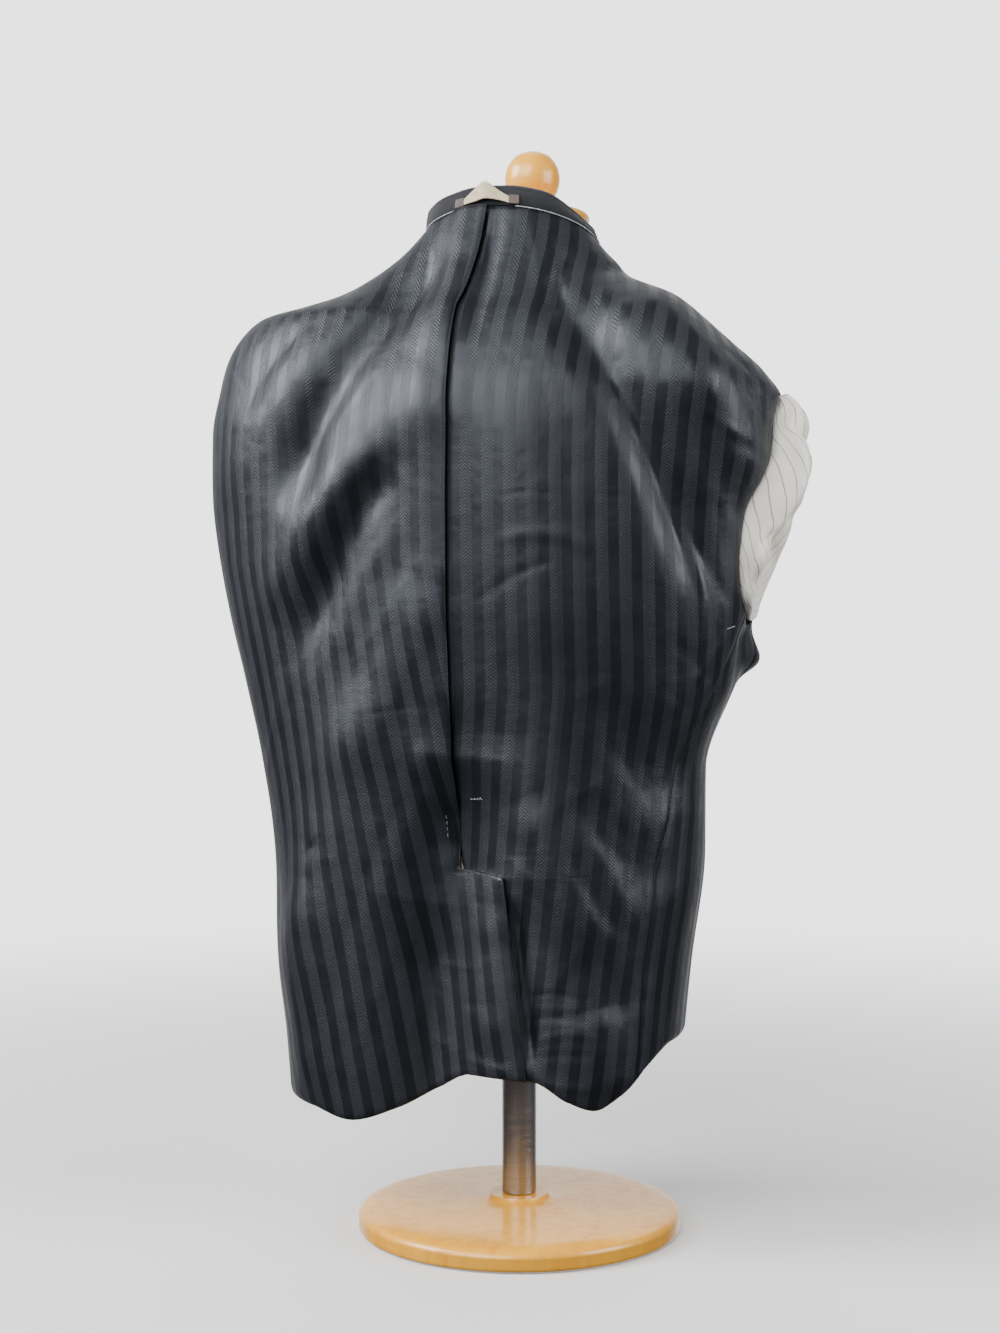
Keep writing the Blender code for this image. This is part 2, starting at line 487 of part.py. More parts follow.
def lathe(name, profile, centre, colour, sides=24, tilt=None):
    """A turned solid on a vertical line, its profile from the bottom to the top."""
    turn = np.arange(sides) * 2.0 * math.pi / sides
    points = [(centre[0] + r * math.cos(t), centre[1] + r * math.sin(t), z) for r, z in profile for t in turn]
    faces = grid_faces(len(profile), sides, 0, False, True)
    low, high = len(points), len(points) + 1
    points += [(centre[0], centre[1], profile[0][1]), (centre[0], centre[1], profile[-1][1])]
    last = (len(profile) - 1) * sides
    for i in range(sides):
        faces += [(low, (i + 1) % sides, i), (high, last + i, last + (i + 1) % sides)]
    if tilt is not None:
        points = tilt(np.array(points))
    return add_mesh(name, points, faces, colour)


def set_in(angle, height, toward, gap=SEAM_GAP):
    """An edge angle moved half a seam's gap towards the piece."""
    return angle + toward * (gap / 2.0) / along(angle, height)


# Backs

def centre_line(height, column):
    return np.interp(height, CENTRE_ROWS[:, 0], CENTRE_ROWS[:, column])


def back_left_surface(angle, height):
    """The left back, raised along the pleat's fold and over the vent."""
    metres = (angle - centre_line(height, 2)) * along(0.0, height)
    pleat = PLEAT_LIFT * ease((metres + 0.045) / 0.030) * ease((height - PLEAT_END + 0.018) / 0.024)
    vent = VENT_LIFT * ease((metres + 0.030) / 0.024) * ease((VENT_TOP + 0.032 - height) / 0.026)
    return skin(angle, height, pleat + vent)


def back_right_surface(angle, height):
    """The right back, dipping away beside the vent's slit."""
    slit = centre_line(np.minimum(height, VENT_TOP - 0.004), 1)
    dip = VENT_DIP * np.exp(-((angle - slit - 2.5) / 2.8) ** 2) * ease((0.325 - height) / 0.03)
    dip = dip * ease((height - 0.165) / 0.04)
    return skin(angle, height, -dip)


def build_backs():
    heights = np.array(ROW_HEIGHTS)
    outer = -set_in(side_edge("left", heights, True), heights, -1.0)
    base = centre_line(heights, 2) - 0.012 / along(0.0, heights)
    inner = set_in(centre_line(heights, 1), heights, -1.0, CENTRE_GAP)
    share = np.linspace(0.0, 1.0, 14)
    main = outer[:, None] + (base - outer)[:, None] * share
    extra = base[:, None] + (inner - base)[:, None] * np.linspace(0.25, 1.0, 4)
    u = np.concatenate([main, extra], axis=1)
    shell("back_left", back_left_surface, u, hem_row(u, heights[:, None]), 0.4, 0.001, "lining")
    underlap = PLEAT_UNDERLAP * ease((heights - PLEAT_END) / 0.020)
    under = set_in(centre_line(heights, 2), heights, 1.0, CENTRE_GAP) - underlap / along(0.0, heights)
    edge = set_in(side_edge("right", heights, True), heights, -1.0)
    u = under[:, None] + (edge - under)[:, None] * np.linspace(0.0, 1.0, 15)
    shell("back_right", back_right_surface, u, hem_row(u, heights[:, None]), 0.4, 0.001, "lining")


# Sides and fronts

def build_side(side):
    sign = 1.0 if side == "right" else -1.0
    foot, corner = UNDERARM_HEIGHT[side], side_corner(side, True)[0]
    heights = np.array([h for h in ROW_HEIGHTS if h < corner - 0.020] + [corner])
    back = set_in(side_edge(side, heights, True), heights, 1.0)
    front = set_in(side_edge(side, heights, False), heights, -1.0)
    u = back[:, None] + (front - back)[:, None] * np.linspace(0.0, 1.0, 6)
    v = hem_row(sign * u, heights[:, None])
    across = np.abs(np.linspace(-1.0, 1.0, 6))
    v[-1] = foot + (corner - foot) * across**2 - SEAM_GAP / 2.0
    if side == "left":
        u, v = -u[:, ::-1], v[:, ::-1]
    shell(f"side_{side}", skin, u, v, 0.4, 0.001, "lining")


def build_front(side):
    sign = 1.0 if side == "right" else -1.0
    heights = np.array(ROW_HEIGHTS)
    outer = sign * set_in(side_edge(side, heights, False), heights, 1.0)
    fine, seams = front_lines(side)[:2]
    seam = np.interp(hem_row(np.interp(heights, fine, seams), heights), fine, seams)
    seam = set_in(seam, heights, -sign)
    u = outer[:, None] + (seam - outer)[:, None] * np.linspace(0.0, 1.0, 8)
    if side == "left":
        u = u[:, ::-1]
    shell(f"front_{side}", skin, u, hem_row(u, heights[:, None]), 0.4, 0.001, "lining")


def front_lines(side):
    """Angles of the facing's seam, the front edge or roll, and the leaf's end, at close heights."""
    fine = np.linspace(0.08, 0.93, 240)
    seam_x, roll_x, leaf = (smooth_through(FRONT_ROWS[:, 0], FRONT_ROWS[:, k], fine) for k in (1, 2, 3))
    return (fine, angle_at(seam_x, fine, side), angle_at(roll_x, fine, side),
            angle_at(roll_x + leaf, fine, side))


def facing_surface(side):
    """The facing from its seam to the edge or roll (0 to 1), round the fold (to 2), and the leaf (to 3)."""
    sign = 1.0 if side == "right" else -1.0
    fine, seams, rolls, ends = front_lines(side)
    seams = set_in(seams, fine, sign)
    half = LAPEL_DEPTH / 2.0

    def surface(u, height):
        seam, roll, end = (np.interp(height, fine, line) for line in (seams, rolls, ends))
        part = np.clip(u, None, 1.0)
        strip = skin(seam + (roll - seam) * part, height)
        edge = skin(roll, height)
        normal = ring_normal(roll, height)
        across = unit(ring(roll + sign * 0.5, height) - ring(roll - sign * 0.5, height))
        turn = np.clip(u - 1.0, 0.0, 1.0)[..., None] * math.pi
        bend = edge - normal * half + normal * half * np.cos(turn) + across * half * np.sin(turn)
        back = np.clip(u - 2.0, 0.0, None)
        leaf_part = skin(roll + (end - roll) * back, height, -LAPEL_DEPTH)
        return np.where((u <= 1.0)[..., None], strip, np.where((u <= 2.0)[..., None], bend, leaf_part))

    return surface


def build_facing(side):
    heights = np.array(ROW_HEIGHTS)
    surface = facing_surface(side)
    strip = (0.0, 0.34, 0.68, 1.0, 1.33, 1.67, 2.0, 2.35, 2.7, 3.0)
    u = np.broadcast_to(np.array(strip), (len(heights), len(strip))).copy()
    fine, seams, rolls = front_lines(side)[:3]
    seam, roll = np.interp(heights, fine, seams), np.interp(heights, fine, rolls)
    angle = seam[:, None] + (roll - seam)[:, None] * np.clip(u, None, 1.0)
    v = hem_row(angle, heights[:, None])
    if side == "left":
        u, v = u[:, ::-1], v[:, ::-1]
        shell(f"facing_{side}", surface, u, v, -0.02, 0.001, "cloth")
    else:
        shell(f"facing_{side}", surface, u, v, 0.02, 0.001, "cloth")


# Collar, loop and buttons

def neck_edge(angle):
    return skin(angle, NECK_HEIGHT)


def neck_out(angle):
    """Level direction out of the neck seam."""
    flat = neck_edge(angle + 0.5) - neck_edge(angle - 0.5)
    flat[..., 2] = 0.0
    flat = unit(flat)
    return np.stack([flat[..., 1], -flat[..., 0], np.zeros(flat.shape[:-1])], axis=-1)


def collar_surface(angle, along_section):
    """Outer face of the collar: up the stand, over the fold, down the leaf inside."""
    stand = smooth_through(columns(COLLAR)[:, 0], columns(COLLAR)[:, 1], angle)
    lean = smooth_through(columns(COLLAR)[:, 0], columns(COLLAR)[:, 2], angle)
    fold = 0.0042
    s = along_section
    up = np.clip(s, None, 1.0)
    rise_out, rise_up = -lean * up * up, 0.0010 + stand * up
    turn = np.clip(s - 1.0, 0.0, 1.0) * math.pi
    over_out, over_up = -lean - fold + fold * np.cos(turn), 0.0010 + stand + fold * np.sin(turn)
    down = np.clip(s - 2.0, 0.0, None)
    leaf_out, leaf_up = -lean - 2 * fold - 0.0012 * down, 0.0010 + stand - (stand + 0.017) * down
    out = np.where(s <= 1.0, rise_out, np.where(s <= 2.0, over_out, leaf_out))
    high = np.where(s <= 1.0, rise_up, np.where(s <= 2.0, over_up, leaf_up))
    point = neck_edge(angle) + neck_out(angle) * out[..., None]
    return point + np.stack([np.zeros_like(high), np.zeros_like(high), high], axis=-1)


def build_collar():
    angle = np.linspace(-106.0, 106.0, 22)
    section = np.array((0.0, 0.50, 1.0, 1.33, 1.67, 2.0, 2.5, 3.0))
    u, v = np.meshgrid(angle, section)
    shell("collar", collar_surface, u, v, 0.4, 0.02, "cloth")


def loop_surface(angle, rise):
    """Outer face of the hanger loop's layer, flat on the collar's stand at its ends and bowed off it between."""
    stand, lean = (smooth_through(columns(COLLAR)[:, 0], columns(COLLAR)[:, k], angle) for k in (1, 2))
    bow = 0.0040 * np.exp(-((angle + 5.5) / 8.5) ** 2)
    out = LOOP_WALL + 0.0004 + bow - lean * np.clip((rise - 0.0010) / stand, 0.0, 1.0) ** 2
    edge = neck_edge(angle) + neck_out(angle) * out[..., None]
    return edge + np.stack([np.zeros_like(rise), np.zeros_like(rise), rise], axis=-1)


# Hanger loop: along it, angle, height of its lower edge and of its upper edge over the neck seam
LOOP = (
    ("left foot", 0.00, -21.0, 0.0036, 0.0090), ("left rise", 0.18, -17.0, 0.0042, 0.0135),
    ("left shoulder", 0.36, -12.0, 0.0048, 0.0195), ("top", 0.55, -6.5, 0.0062, 0.0225),
    ("right shoulder", 0.72, 0.0, 0.0055, 0.0165), ("right fall", 0.86, 5.0, 0.0045, 0.0120),
    ("right foot", 1.00, 9.0, 0.0030, 0.0090),
)
LOOP_ENDS = (
    ("loop_end_left", -27.5, -21.27, 0.0024, 0.0105), ("loop_end_right", 9.27, 15.5, 0.0024, 0.0105),
)


def build_loop():
    rows = columns(LOOP)
    t = np.linspace(0.0, 1.0, 13)
    angle, low, high = (smooth_through(rows[:, 0], rows[:, k], t) for k in (1, 2, 3))
    share = np.linspace(0.0, 1.0, 4)[:, None]
    v = low[None, :] + (high - low)[None, :] * share
    u = np.broadcast_to(angle, v.shape).copy()
    shell("hanger_loop", loop_surface, u, v, 0.4, 0.0005, "loop", wall=LOOP_WALL)
    for name, start, stop, below, above in LOOP_ENDS:
        u, v = np.meshgrid(np.linspace(start, stop, 4), np.linspace(below, above, 4))
        shell(name, loop_surface, u, v, 0.4, 0.0005, "loop end", wall=LOOP_WALL)


def build_buttons():
    for name, height in (("button_upper", 0.540), ("button_lower", 0.440)):
        roll = smooth_through(FRONT_ROWS[:, 0], FRONT_ROWS[:, 2], height)
        angle = angle_at(roll + 0.0235, height, "left")[0]
        place = skin(angle, height, -(WALL + 0.0006))
        normal = -slope_normal(skin, angle, height, 0.4, 0.001)
        side = unit(np.cross((0.0, 0.0, 1.0), normal))
        up = np.cross(normal, side)
        profile = ((0.86, 0.0), (1.0, 0.22), (1.0, 0.72), (0.88, 1.0), (0.70, 0.92))

        def tilt(points, place=place, normal=normal, side=side, up=up):
            return place + np.outer(points[:, 0], side) + np.outer(points[:, 1], up) + np.outer(points[:, 2], normal)

        shape = tuple((r * BUTTON_RADIUS, z * BUTTON_THICK) for r, z in profile)
        lathe(name, shape, (0.0, 0.0), "button", sides=14, tilt=tilt)


# Sleeves

def hole_frame(side, count):
    angle, height = hole_loop(side, count)
    rim = skin(angle, height, 0.0)
    middle = rim.mean(axis=0)
    out = unit(ring_normal(angle, height).mean(axis=0))
    return angle, height, rim, middle, out


def ring_about(rim, middle, out, share, high):
    """The hole's rim drawn in to a share of its size and moved out."""
    flat = rim - middle
    flat = flat - np.outer(flat @ out, out)
    level = (rim - middle) @ out
    return middle + flat * share + np.outer(level * share + high, out)


def loft_around(name, rings, colour, wall):
    """A tube of even wall through rings of points, its outer face first."""
    rings = np.array(rings)
    rows, cols = rings.shape[:2]
    round_way = np.roll(rings, -1, axis=1) - np.roll(rings, 1, axis=1)
    up_way = np.gradient(rings, axis=0)
    normal = unit(np.cross(round_way, up_way))
    for _ in range(2):
        normal = unit(normal + 0.5 * (np.roll(normal, 1, axis=1) + np.roll(normal, -1, axis=1)))
    inner = rings - normal * wall
    count = rows * cols
    points = np.concatenate([rings.reshape(-1, 3), inner.reshape(-1, 3)])
    faces = grid_faces(rows, cols, 0, False, True) + grid_faces(rows, cols, count, True, True)
    edges = [(i, (i + 1) % cols) for i in range(cols)]
    edges += [((rows - 1) * cols + (i + 1) % cols, (rows - 1) * cols + i) for i in range(cols)]
    for a, b in edges:
        faces += [(b, a, a + count), (b, a + count, b + count)]
    return add_mesh(name, points, faces, colour)


def build_sleeve_lining(side):
    count = 26 if side == "right" else 18
    angle, height, rim, middle, out = hole_frame(side, count)
    low, high = UNDERARM_HEIGHT[side], POINT_HEIGHT[side]
    where = np.arange(count) / count
    share = (height - low) / (high - low)
    rings = []
    if side == "right":
        swell = smooth_through(columns(PUFF_SWELL)[:, 0], columns(PUFF_SWELL)[:, 1], share)
        for place, (size, far) in enumerate(columns(PUFF)):
            crease = np.zeros(count)
            for spot, half, tall in columns(PUFF_FOLDS):
                away = (where - spot + 0.5) % 1.0 - 0.5
                crease += tall * np.exp(-((away / half) ** 2))
            weight = math.sin(math.pi * min(place / 7.0, 1.0))
            lift = np.where(far > 0, far * swell, far) + crease * weight * np.clip(swell, 0.15, 1.0)
            rings.append(ring_about(rim, middle, out, size, 0.0) + np.outer(lift, out))
    else:
        for size, far in columns(FUNNEL):
            rings.append(skin(angle.mean() + (angle - angle.mean()) * size,
                              (low + high) / 2.0 + (height - (low + high) / 2.0) * size, far)[::-1])
    loft_around(f"sleeve_lining_{side}", rings, "sleeve lining", SLEEVE_LINING_WALL)


def build_sleeve(side):
    """The cloth sleeve: from the armhole's rim, curving in and down into a flat tube beside the form."""
    sign = 1.0 if side == "right" else -1.0
    count = 16
    angle, height = hole_loop(side, count)
    low, high = UNDERARM_HEIGHT[side], POINT_HEIGHT[side]
    share = (height - low) / (high - low)
    rows = columns(SLEEVE)
    bottom = CUFF_HEIGHT[side]
    turn = 2.0 * math.pi * np.arange(count) / count

    def tube(down):
        centre, half, thick, own = (smooth_through(rows[:, 0], rows[:, k], down) for k in (1, 2, 3, 4))
        tall = SLEEVE_TOP + (bottom - SLEEVE_TOP) * down
        around = sign * (centre - half * np.sin(turn))
        deep = SLEEVE_CLEAR + SLEEVE_THICK * thick * (0.5 - 0.5 * np.cos(turn))
        deep = deep + 0.0025 * own * (0.5 - 0.5 * np.cos(turn)) * np.cos(2.0 * turn)
        return around, np.full(count, tall), deep

    first_angle, first_height, first_deep = tube(0.0)
    rings = []
    near_point = ease((share - 0.70) / 0.30)
    start_deep = 0.0041 + 0.0070 * near_point
    height = height - 0.0120 * near_point
    bend_deep = 0.0120 + 0.044 * ease(share / 0.6)
    for t in (0.0, 0.14, 0.33, 0.56, 0.80):
        weights = ((1 - t) ** 2, 2 * t * (1 - t), t * t)
        turned = weights[0] * angle + weights[1] * (0.6 * angle + 0.4 * first_angle) + weights[2] * first_angle
        tall = weights[0] * height + weights[1] * (0.94 * height + 0.06 * first_height) + weights[2] * first_height
        deep = weights[0] * start_deep + weights[1] * bend_deep + weights[2] * first_deep
        rings.append(tucked(turned, tall, deep))
    for down in (0.0, 0.13, 0.26, 0.38, 0.50, 0.63, 0.75, 0.88, 1.0):
        rings.append(tucked(*tube(down)))
    if side == "right":
        rings = [r[::-1] for r in rings]
    loft_around(f"sleeve_{side}", rings, "cloth", WALL)


def tucked(angle, height, deep):
    """A point inside the cloth: straight in under its outer face, then towards the body's middle."""
    face = skin(angle, height, 0.0)
    plain = ring(angle, height)
    inward = unit(np.stack([plain[..., 0] - 0.018, plain[..., 1] * 2.2, np.zeros_like(plain[..., 0])], axis=-1))
    return face - inward * deep[..., None]


# Form

def build_form():
    rows = columns(FORM)
    fine = np.linspace(0, len(rows) - 1, 2 * len(rows) - 1)
    keys = np.arange(len(rows))
    height, wide, back, front, cx, cy = (smooth_through(keys, rows[:, k], fine) for k in range(6))
    sides = 20
    turn = np.arange(sides) * 2.0 * math.pi / sides
    points = []
    for h, w, b, f, x, y in zip(height, wide, back, front, cx, cy):
        s, c = np.cos(turn), np.sin(turn)
        q = (np.abs(s) ** 2.2 + np.abs(c) ** 2.2) ** (1 / 2.2)
        points += [(x + w * si / qi, y + (b if ci > 0 else f) * ci / qi, h) for si, ci, qi in zip(s, c, q)]
    faces = grid_faces(len(fine), sides, 0, False, True)
    low, high = len(points), len(points) + 1
    points += [(cx[0], cy[0], height[0]), (cx[-1], cy[-1], height[-1])]
    last = (len(fine) - 1) * sides
    for i in range(sides):
        faces += [(low, (i + 1) % sides, i), (high, last + i, last + (i + 1) % sides)]
    add_mesh("form_torso", points, faces, "form")
    lathe("form_neck_cap", CAP, NECK_CENTRE, "wood", sides=20)
    lathe("form_knob", KNOB, NECK_CENTRE, "wood", sides=18)
    lathe("form_post", POST, (0.0, 0.0), "post", sides=16)
    lathe("form_foot", FOOT, (0.0, 0.0), "wood", sides=28)


clear_scene()
PART = bpy.data.collections.get("blazer_on_dress_form") or bpy.data.collections.new("blazer_on_dress_form")
if PART.name not in bpy.context.scene.collection.children:
    bpy.context.scene.collection.children.link(PART)
build_form()
build_backs()
for each_side in ("left", "right"):
    build_side(each_side)
    build_front(each_side)
    build_facing(each_side)
    build_sleeve(each_side)
    build_sleeve_lining(each_side)
build_collar()
build_loop()
build_buttons()
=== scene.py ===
"""A man's blazer worn inside out on a limbless dress form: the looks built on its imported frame.

Laid out as a Blender add-on and run as a script. Frame: +Z up, metres, the form faces -Y, its left side
is +X, the origin is under the foot's centre. The cloth pieces lie on one draped body surface: BODY gives
its rings, FOLDS, ROLLS and CREASES what stands out of it, and SEAMS, FRONTS and ARMHOLE the pieces' edges.
"""

import math

import bpy
import numpy as np
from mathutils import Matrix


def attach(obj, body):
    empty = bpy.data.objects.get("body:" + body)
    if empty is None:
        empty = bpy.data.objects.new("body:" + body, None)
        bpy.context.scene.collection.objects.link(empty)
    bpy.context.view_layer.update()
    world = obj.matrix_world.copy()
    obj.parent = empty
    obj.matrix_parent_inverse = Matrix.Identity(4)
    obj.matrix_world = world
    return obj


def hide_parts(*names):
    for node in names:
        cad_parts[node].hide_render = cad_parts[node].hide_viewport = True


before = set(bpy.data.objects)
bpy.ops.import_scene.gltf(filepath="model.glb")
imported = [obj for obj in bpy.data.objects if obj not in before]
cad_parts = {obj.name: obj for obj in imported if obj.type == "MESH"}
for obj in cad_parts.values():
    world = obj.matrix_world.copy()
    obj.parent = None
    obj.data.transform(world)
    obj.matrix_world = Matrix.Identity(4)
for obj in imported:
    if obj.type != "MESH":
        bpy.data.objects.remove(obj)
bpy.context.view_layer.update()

bl_info = {
    "name": "Blazer on Dress Form",
    "version": (1, 0, 0),
    "blender": (4, 5, 0),
    "location": "3D View > Sidebar > Blazer",
    "description": "Builds the cloth, trims, dress form and studio of a blazer worn inside out",
    "category": "Object",
}

# Driving sizes, metres
WALL = 0.0020           # wall of every cloth piece
SLEEVE_LINING_WALL = 0.0014
LOOP_WALL = 0.0011
SEAM_GAP = 0.0009       # between two pieces along a seam
SEAM_FOOT = 0.040       # share of the armhole's height where the side seams end
HEM_BLEND = 0.250       # height above which the hem's wave no longer moves a row
LEAN = 0.046            # rise of the shoulders to the left, for a metre across
SQUARENESS = 2.25       # exponent of the body's rings
PLEAT_UNDERLAP = 0.014  # right back under left back along the centre pleat
PLEAT_LIFT = 0.0046     # left back raised over it
PLEAT_END = 0.405       # height of the pleat's lower end
VENT_TOP = 0.338        # height of the vent's upper end
VENT_LIFT = 0.0050      # left back's vent flap raised over the right back
VENT_DIP = 0.0080       # right back dipping away beside the slit
LAPEL_DEPTH = 0.0090    # lapel and turned front edge, behind the facing
NECK_HEIGHT = 0.921     # height of the neck seam at the sides
SLEEVE_CLEAR = 0.0100   # body cloth's outer face to the tucked sleeve
SLEEVE_THICK = 0.0240   # a tucked sleeve, front to back of its flat tube
SLEEVE_TOP = 0.545      # height where a tucked sleeve has become a flat tube
CUFF_HEIGHT = {"left": 0.190, "right": 0.212}
POINT_HEIGHT = {"left": 0.847, "right": 0.784}     # top of the armhole
UNDERARM_HEIGHT = {"left": 0.572, "right": 0.560}  # foot of the armhole
BUTTON_RADIUS = 0.0100
BUTTON_THICK = 0.0034
POST_RADIUS = 0.016
NECK_CENTRE = (-0.003, -0.036)
NECK_REACH = 0.075      # mean radius of the neck seam
TOP_STEP = 0.021        # height of the level above the neck seam
TOP_TAPER = (0.022, 0.010)      # half-width and half-depth lost over that level
NAPE_CURVE = 1.5        # how suddenly the neck seam rises at the nape
THROAT_DROP = 0.8       # its fall at the throat, as a share of the rise
LEAN_FROM, LEAN_OVER = 0.60, 0.22       # height where the lean starts, height over which it grows
BODY_SHIFT = 0.018      # the body's middle, left of the origin
FADE = 0.30             # share of a fold's path over which its ends fade out
START_FADE = 0.35       # how far a fold has faded in at its start
PATH_POINTS = 15        # points along a fold's path
FACE_BLEND = 0.30       # how softly a fold ends at the sides
VISUAL_GAP = 0.0005     # between two pieces of lining along a seam
UNDER_DIP = 0.0026      # right back lower where the left back lies on it
SIDE_SEAM = 0.075       # seam of the form's cover, beside its middle
COLLAR_FOLD = 0.0042    # radius of the collar's fold
COLLAR_FOOT = 0.0010    # the collar's lower edge over the neck seam
PUFF_REACH = 0.84       # the pouch as it hangs, as a share of its rings' reach out
PUFF_HALF = 7.0         # ring of PUFF where its own folds have faded again

# Body rings: name, height, half-width left, half-width right, back, front, shift to the left, nape rise
BODY = (
    ("below hem", 0.080, 0.1980, 0.163, 0.136, 0.128, 0.018, 0.000),
    ("hem", 0.160, 0.2035, 0.170, 0.134, 0.130, 0.018, 0.000),
    ("hip", 0.250, 0.2135, 0.179, 0.129, 0.130, 0.018, 0.000),
    ("low waist", 0.350, 0.2195, 0.192, 0.122, 0.128, 0.018, 0.000),
    ("waist", 0.430, 0.2330, 0.193, 0.118, 0.125, 0.018, 0.000),
    ("high waist", 0.510, 0.2520, 0.221, 0.120, 0.126, 0.018, 0.000),
    ("underarm", 0.580, 0.2690, 0.239, 0.126, 0.130, 0.018, 0.000),
    ("chest", 0.680, 0.2850, 0.250, 0.132, 0.130, 0.018, 0.000),
    ("blade", 0.735, 0.2860, 0.257, 0.133, 0.122, 0.017, 0.000),
    ("right point", 0.772, 0.2800, 0.262, 0.130, 0.113, 0.016, 0.000),
    ("upper back", 0.800, 0.2740, 0.245, 0.122, 0.104, 0.015, 0.000),
    ("yoke", 0.822, 0.2630, 0.218, 0.113, 0.095, 0.014, 0.000),
    ("left point", 0.843, 0.2410, 0.187, 0.102, 0.085, 0.013, 0.000),
    ("left pad", 0.851, 0.2100, 0.172, 0.096, 0.079, 0.012, 0.001),
    ("mid shoulder", 0.863, 0.1670, 0.147, 0.089, 0.072, 0.011, 0.002),
    ("neck slope", 0.880, 0.1330, 0.117, 0.079, 0.064, 0.009, 0.006),
    ("neck base", 0.900, 0.1050, 0.098, 0.068, 0.057, 0.007, 0.012),
    ("neck seam", 0.921, 0.0825, 0.0815, 0.057, 0.050, 0.0065, 0.021),
)

# Large folds, in millimetres: start, bend and end of a curved path as x and height, half-width of the
# fold, height out of the cloth (minus is a valley). Names that start with front lie there, others behind.
FOLDS = {
    "left shoulder ridge in": ((35, 781, 89, 704, 176, 602, 32, 6),),
    "left shoulder ridge out": ((148, 814, 241, 758, 263, 661, 28, 3.5),),
    "left sleeve-head dimple": ((183, 832, 226, 800, 237, 741, 16, -3),),
    "left seat valley": ((21, 443, 39, 236, 53, -60, 41, -32),),
    "left seat hollow": ((63, 315, 86, 155, 114, -60, 45, -15),),
    "left side dimple": ((168, 362, 164, 358, 157, 357, 13, -2),),
    "left seat crest": ((83, 502, 174, 352, 200, 176, 36, 7),),
    "vent seat hollow": ((-24, 337, -27, 173, -35, -60, 46, -12),),
    "vent hollow": ((44, 345, 10, 338, -23, 347, 16, -2),),
    "seat shelf": ((75, 429, 21, 464, -58, 407, 24, 3),),
    "vent flap swell": ((3, 315, 7, 240, -11, 173, 22, 6),),
    "right drag ridge": ((-103, 888, -230, 743, -230, 655, 24, 13),),
    "right drag valley": ((-56, 861, -159, 737, -194, 564, 17, -15),),
    "right waist valley one": ((-98, 503, -134, 439, -159, 387, 24, -4.5),),
    "right waist valley two": ((-91, 415, -125, 359, -156, 315, 24, -5),),
    "right seat valley": ((-69, 250, -99, 232, -131, 220, 24, -3),),
    "right seat ridge": ((-34, 407, -68, 340, -95, 259, 18, 5),),
    "right hem cone": ((-102, 224, -109, 182, -113, 137, 26, 6),),
    "left shoulder valley": ((50, 892, 172, 767, 190, 650, 21, -14),),
    "left blade valley": ((82, 700, 128, 650, 192, 505, 20, -12),),
    "left blade ridge": ((105, 720, 185, 640, 215, 560, 24, 6),),
    "left waist ridge": ((50, 600, 90, 500, 165, 400, 28, 6),),
    "left hem cone": ((175, 330, 180, 220, 168, 110, 26, 7),),
    "pleat mouth": ((3, 935, 8, 880, 12, 800, 9, -4),),
    "pleat return": ((40, 930, 38, 860, 36, 780, 13, 3),),
    "right neck pucker": ((-64, 900, -60, 870, -52, 820, 9, -4),),
    "right yoke swell": ((-110, 840, -160, 800, -215, 740, 26, 5),),
    "right blade drape": ((-30, 780, -50, 640, -60, 480, 30, 4),),
    "front left drag": ((110, 850, 165, 720, 225, 590, 22, -10),),
    "front left chest ridge": ((80, 780, 140, 650, 200, 520, 26, 7),),
    "front left skirt valley": ((160, 420, 130, 280, 120, 120, 24, -8),),
    "front left skirt cone": ((90, 330, 80, 220, 75, 110, 24, 6),),
    "front right drag": ((-90, 840, -150, 720, -200, 600, 20, -11),),
    "front right chest ridge": ((-70, 770, -115, 640, -175, 520, 26, 7),),
    "front right skirt valley": ((-130, 430, -105, 290, -90, 130, 22, -7),),
    "front right skirt cone": ((-60, 320, -55, 220, -50, 120, 22, 5),),
}

# Local rolls of cloth: angle, height, half-angle, half-height, height out of the cloth
ROLLS = (
    ("right underarm lobe", 113.0, 0.534, 14.0, 0.0180, 0.0210),
    ("right underarm tuck", 88.0, 0.548, 9.0, 0.0200, -0.0050),
    ("left underarm roll", -104.0, 0.545, 14.0, 0.0220, 0.0060),
)

# Seams: height, right back to side, left back to side, side to front (either side)
SEAMS = (
    ("below hem", 0.080, 56.0, 78.0, 108.0),
    ("hem", 0.160, 56.0, 78.0, 108.0),
    ("hip", 0.260, 55.6, 78.0, 107.0),
    ("low waist", 0.330, 55.5, 78.5, 106.0),
    ("waist", 0.394, 61.5, 79.5, 104.0),
    ("high waist", 0.466, 68.5, 81.0, 103.0),
    ("side", 0.509, 73.0, 82.5, 101.5),
    ("under side", 0.540, 77.3, 84.0, 101.3),
)

# Centre back: height, edge of the left back (the pleat's fold, then the vent's slit), right back's own edge
CENTRE_BACK = (
    ("hem", 0.080, 22.8, -3.2),
    ("vent low", 0.165, 19.9, -3.2),
    ("vent mid", 0.224, 16.4, -3.2),
    ("vent high", 0.277, 13.5, -3.2),
    ("vent top", 0.338, 10.3, -3.2),
    ("vent jog", 0.344, -3.2, -3.2),
    ("pleat end", 0.405, -3.0, -3.0),
    ("waist", 0.580, -2.6, -2.6),
    ("blade", 0.738, -2.1, -2.1),
    ("yoke", 0.818, -3.0, -3.0),
    ("slope", 0.887, -4.2, -4.2),
    ("neck", 0.925, -5.0, -5.0),
)

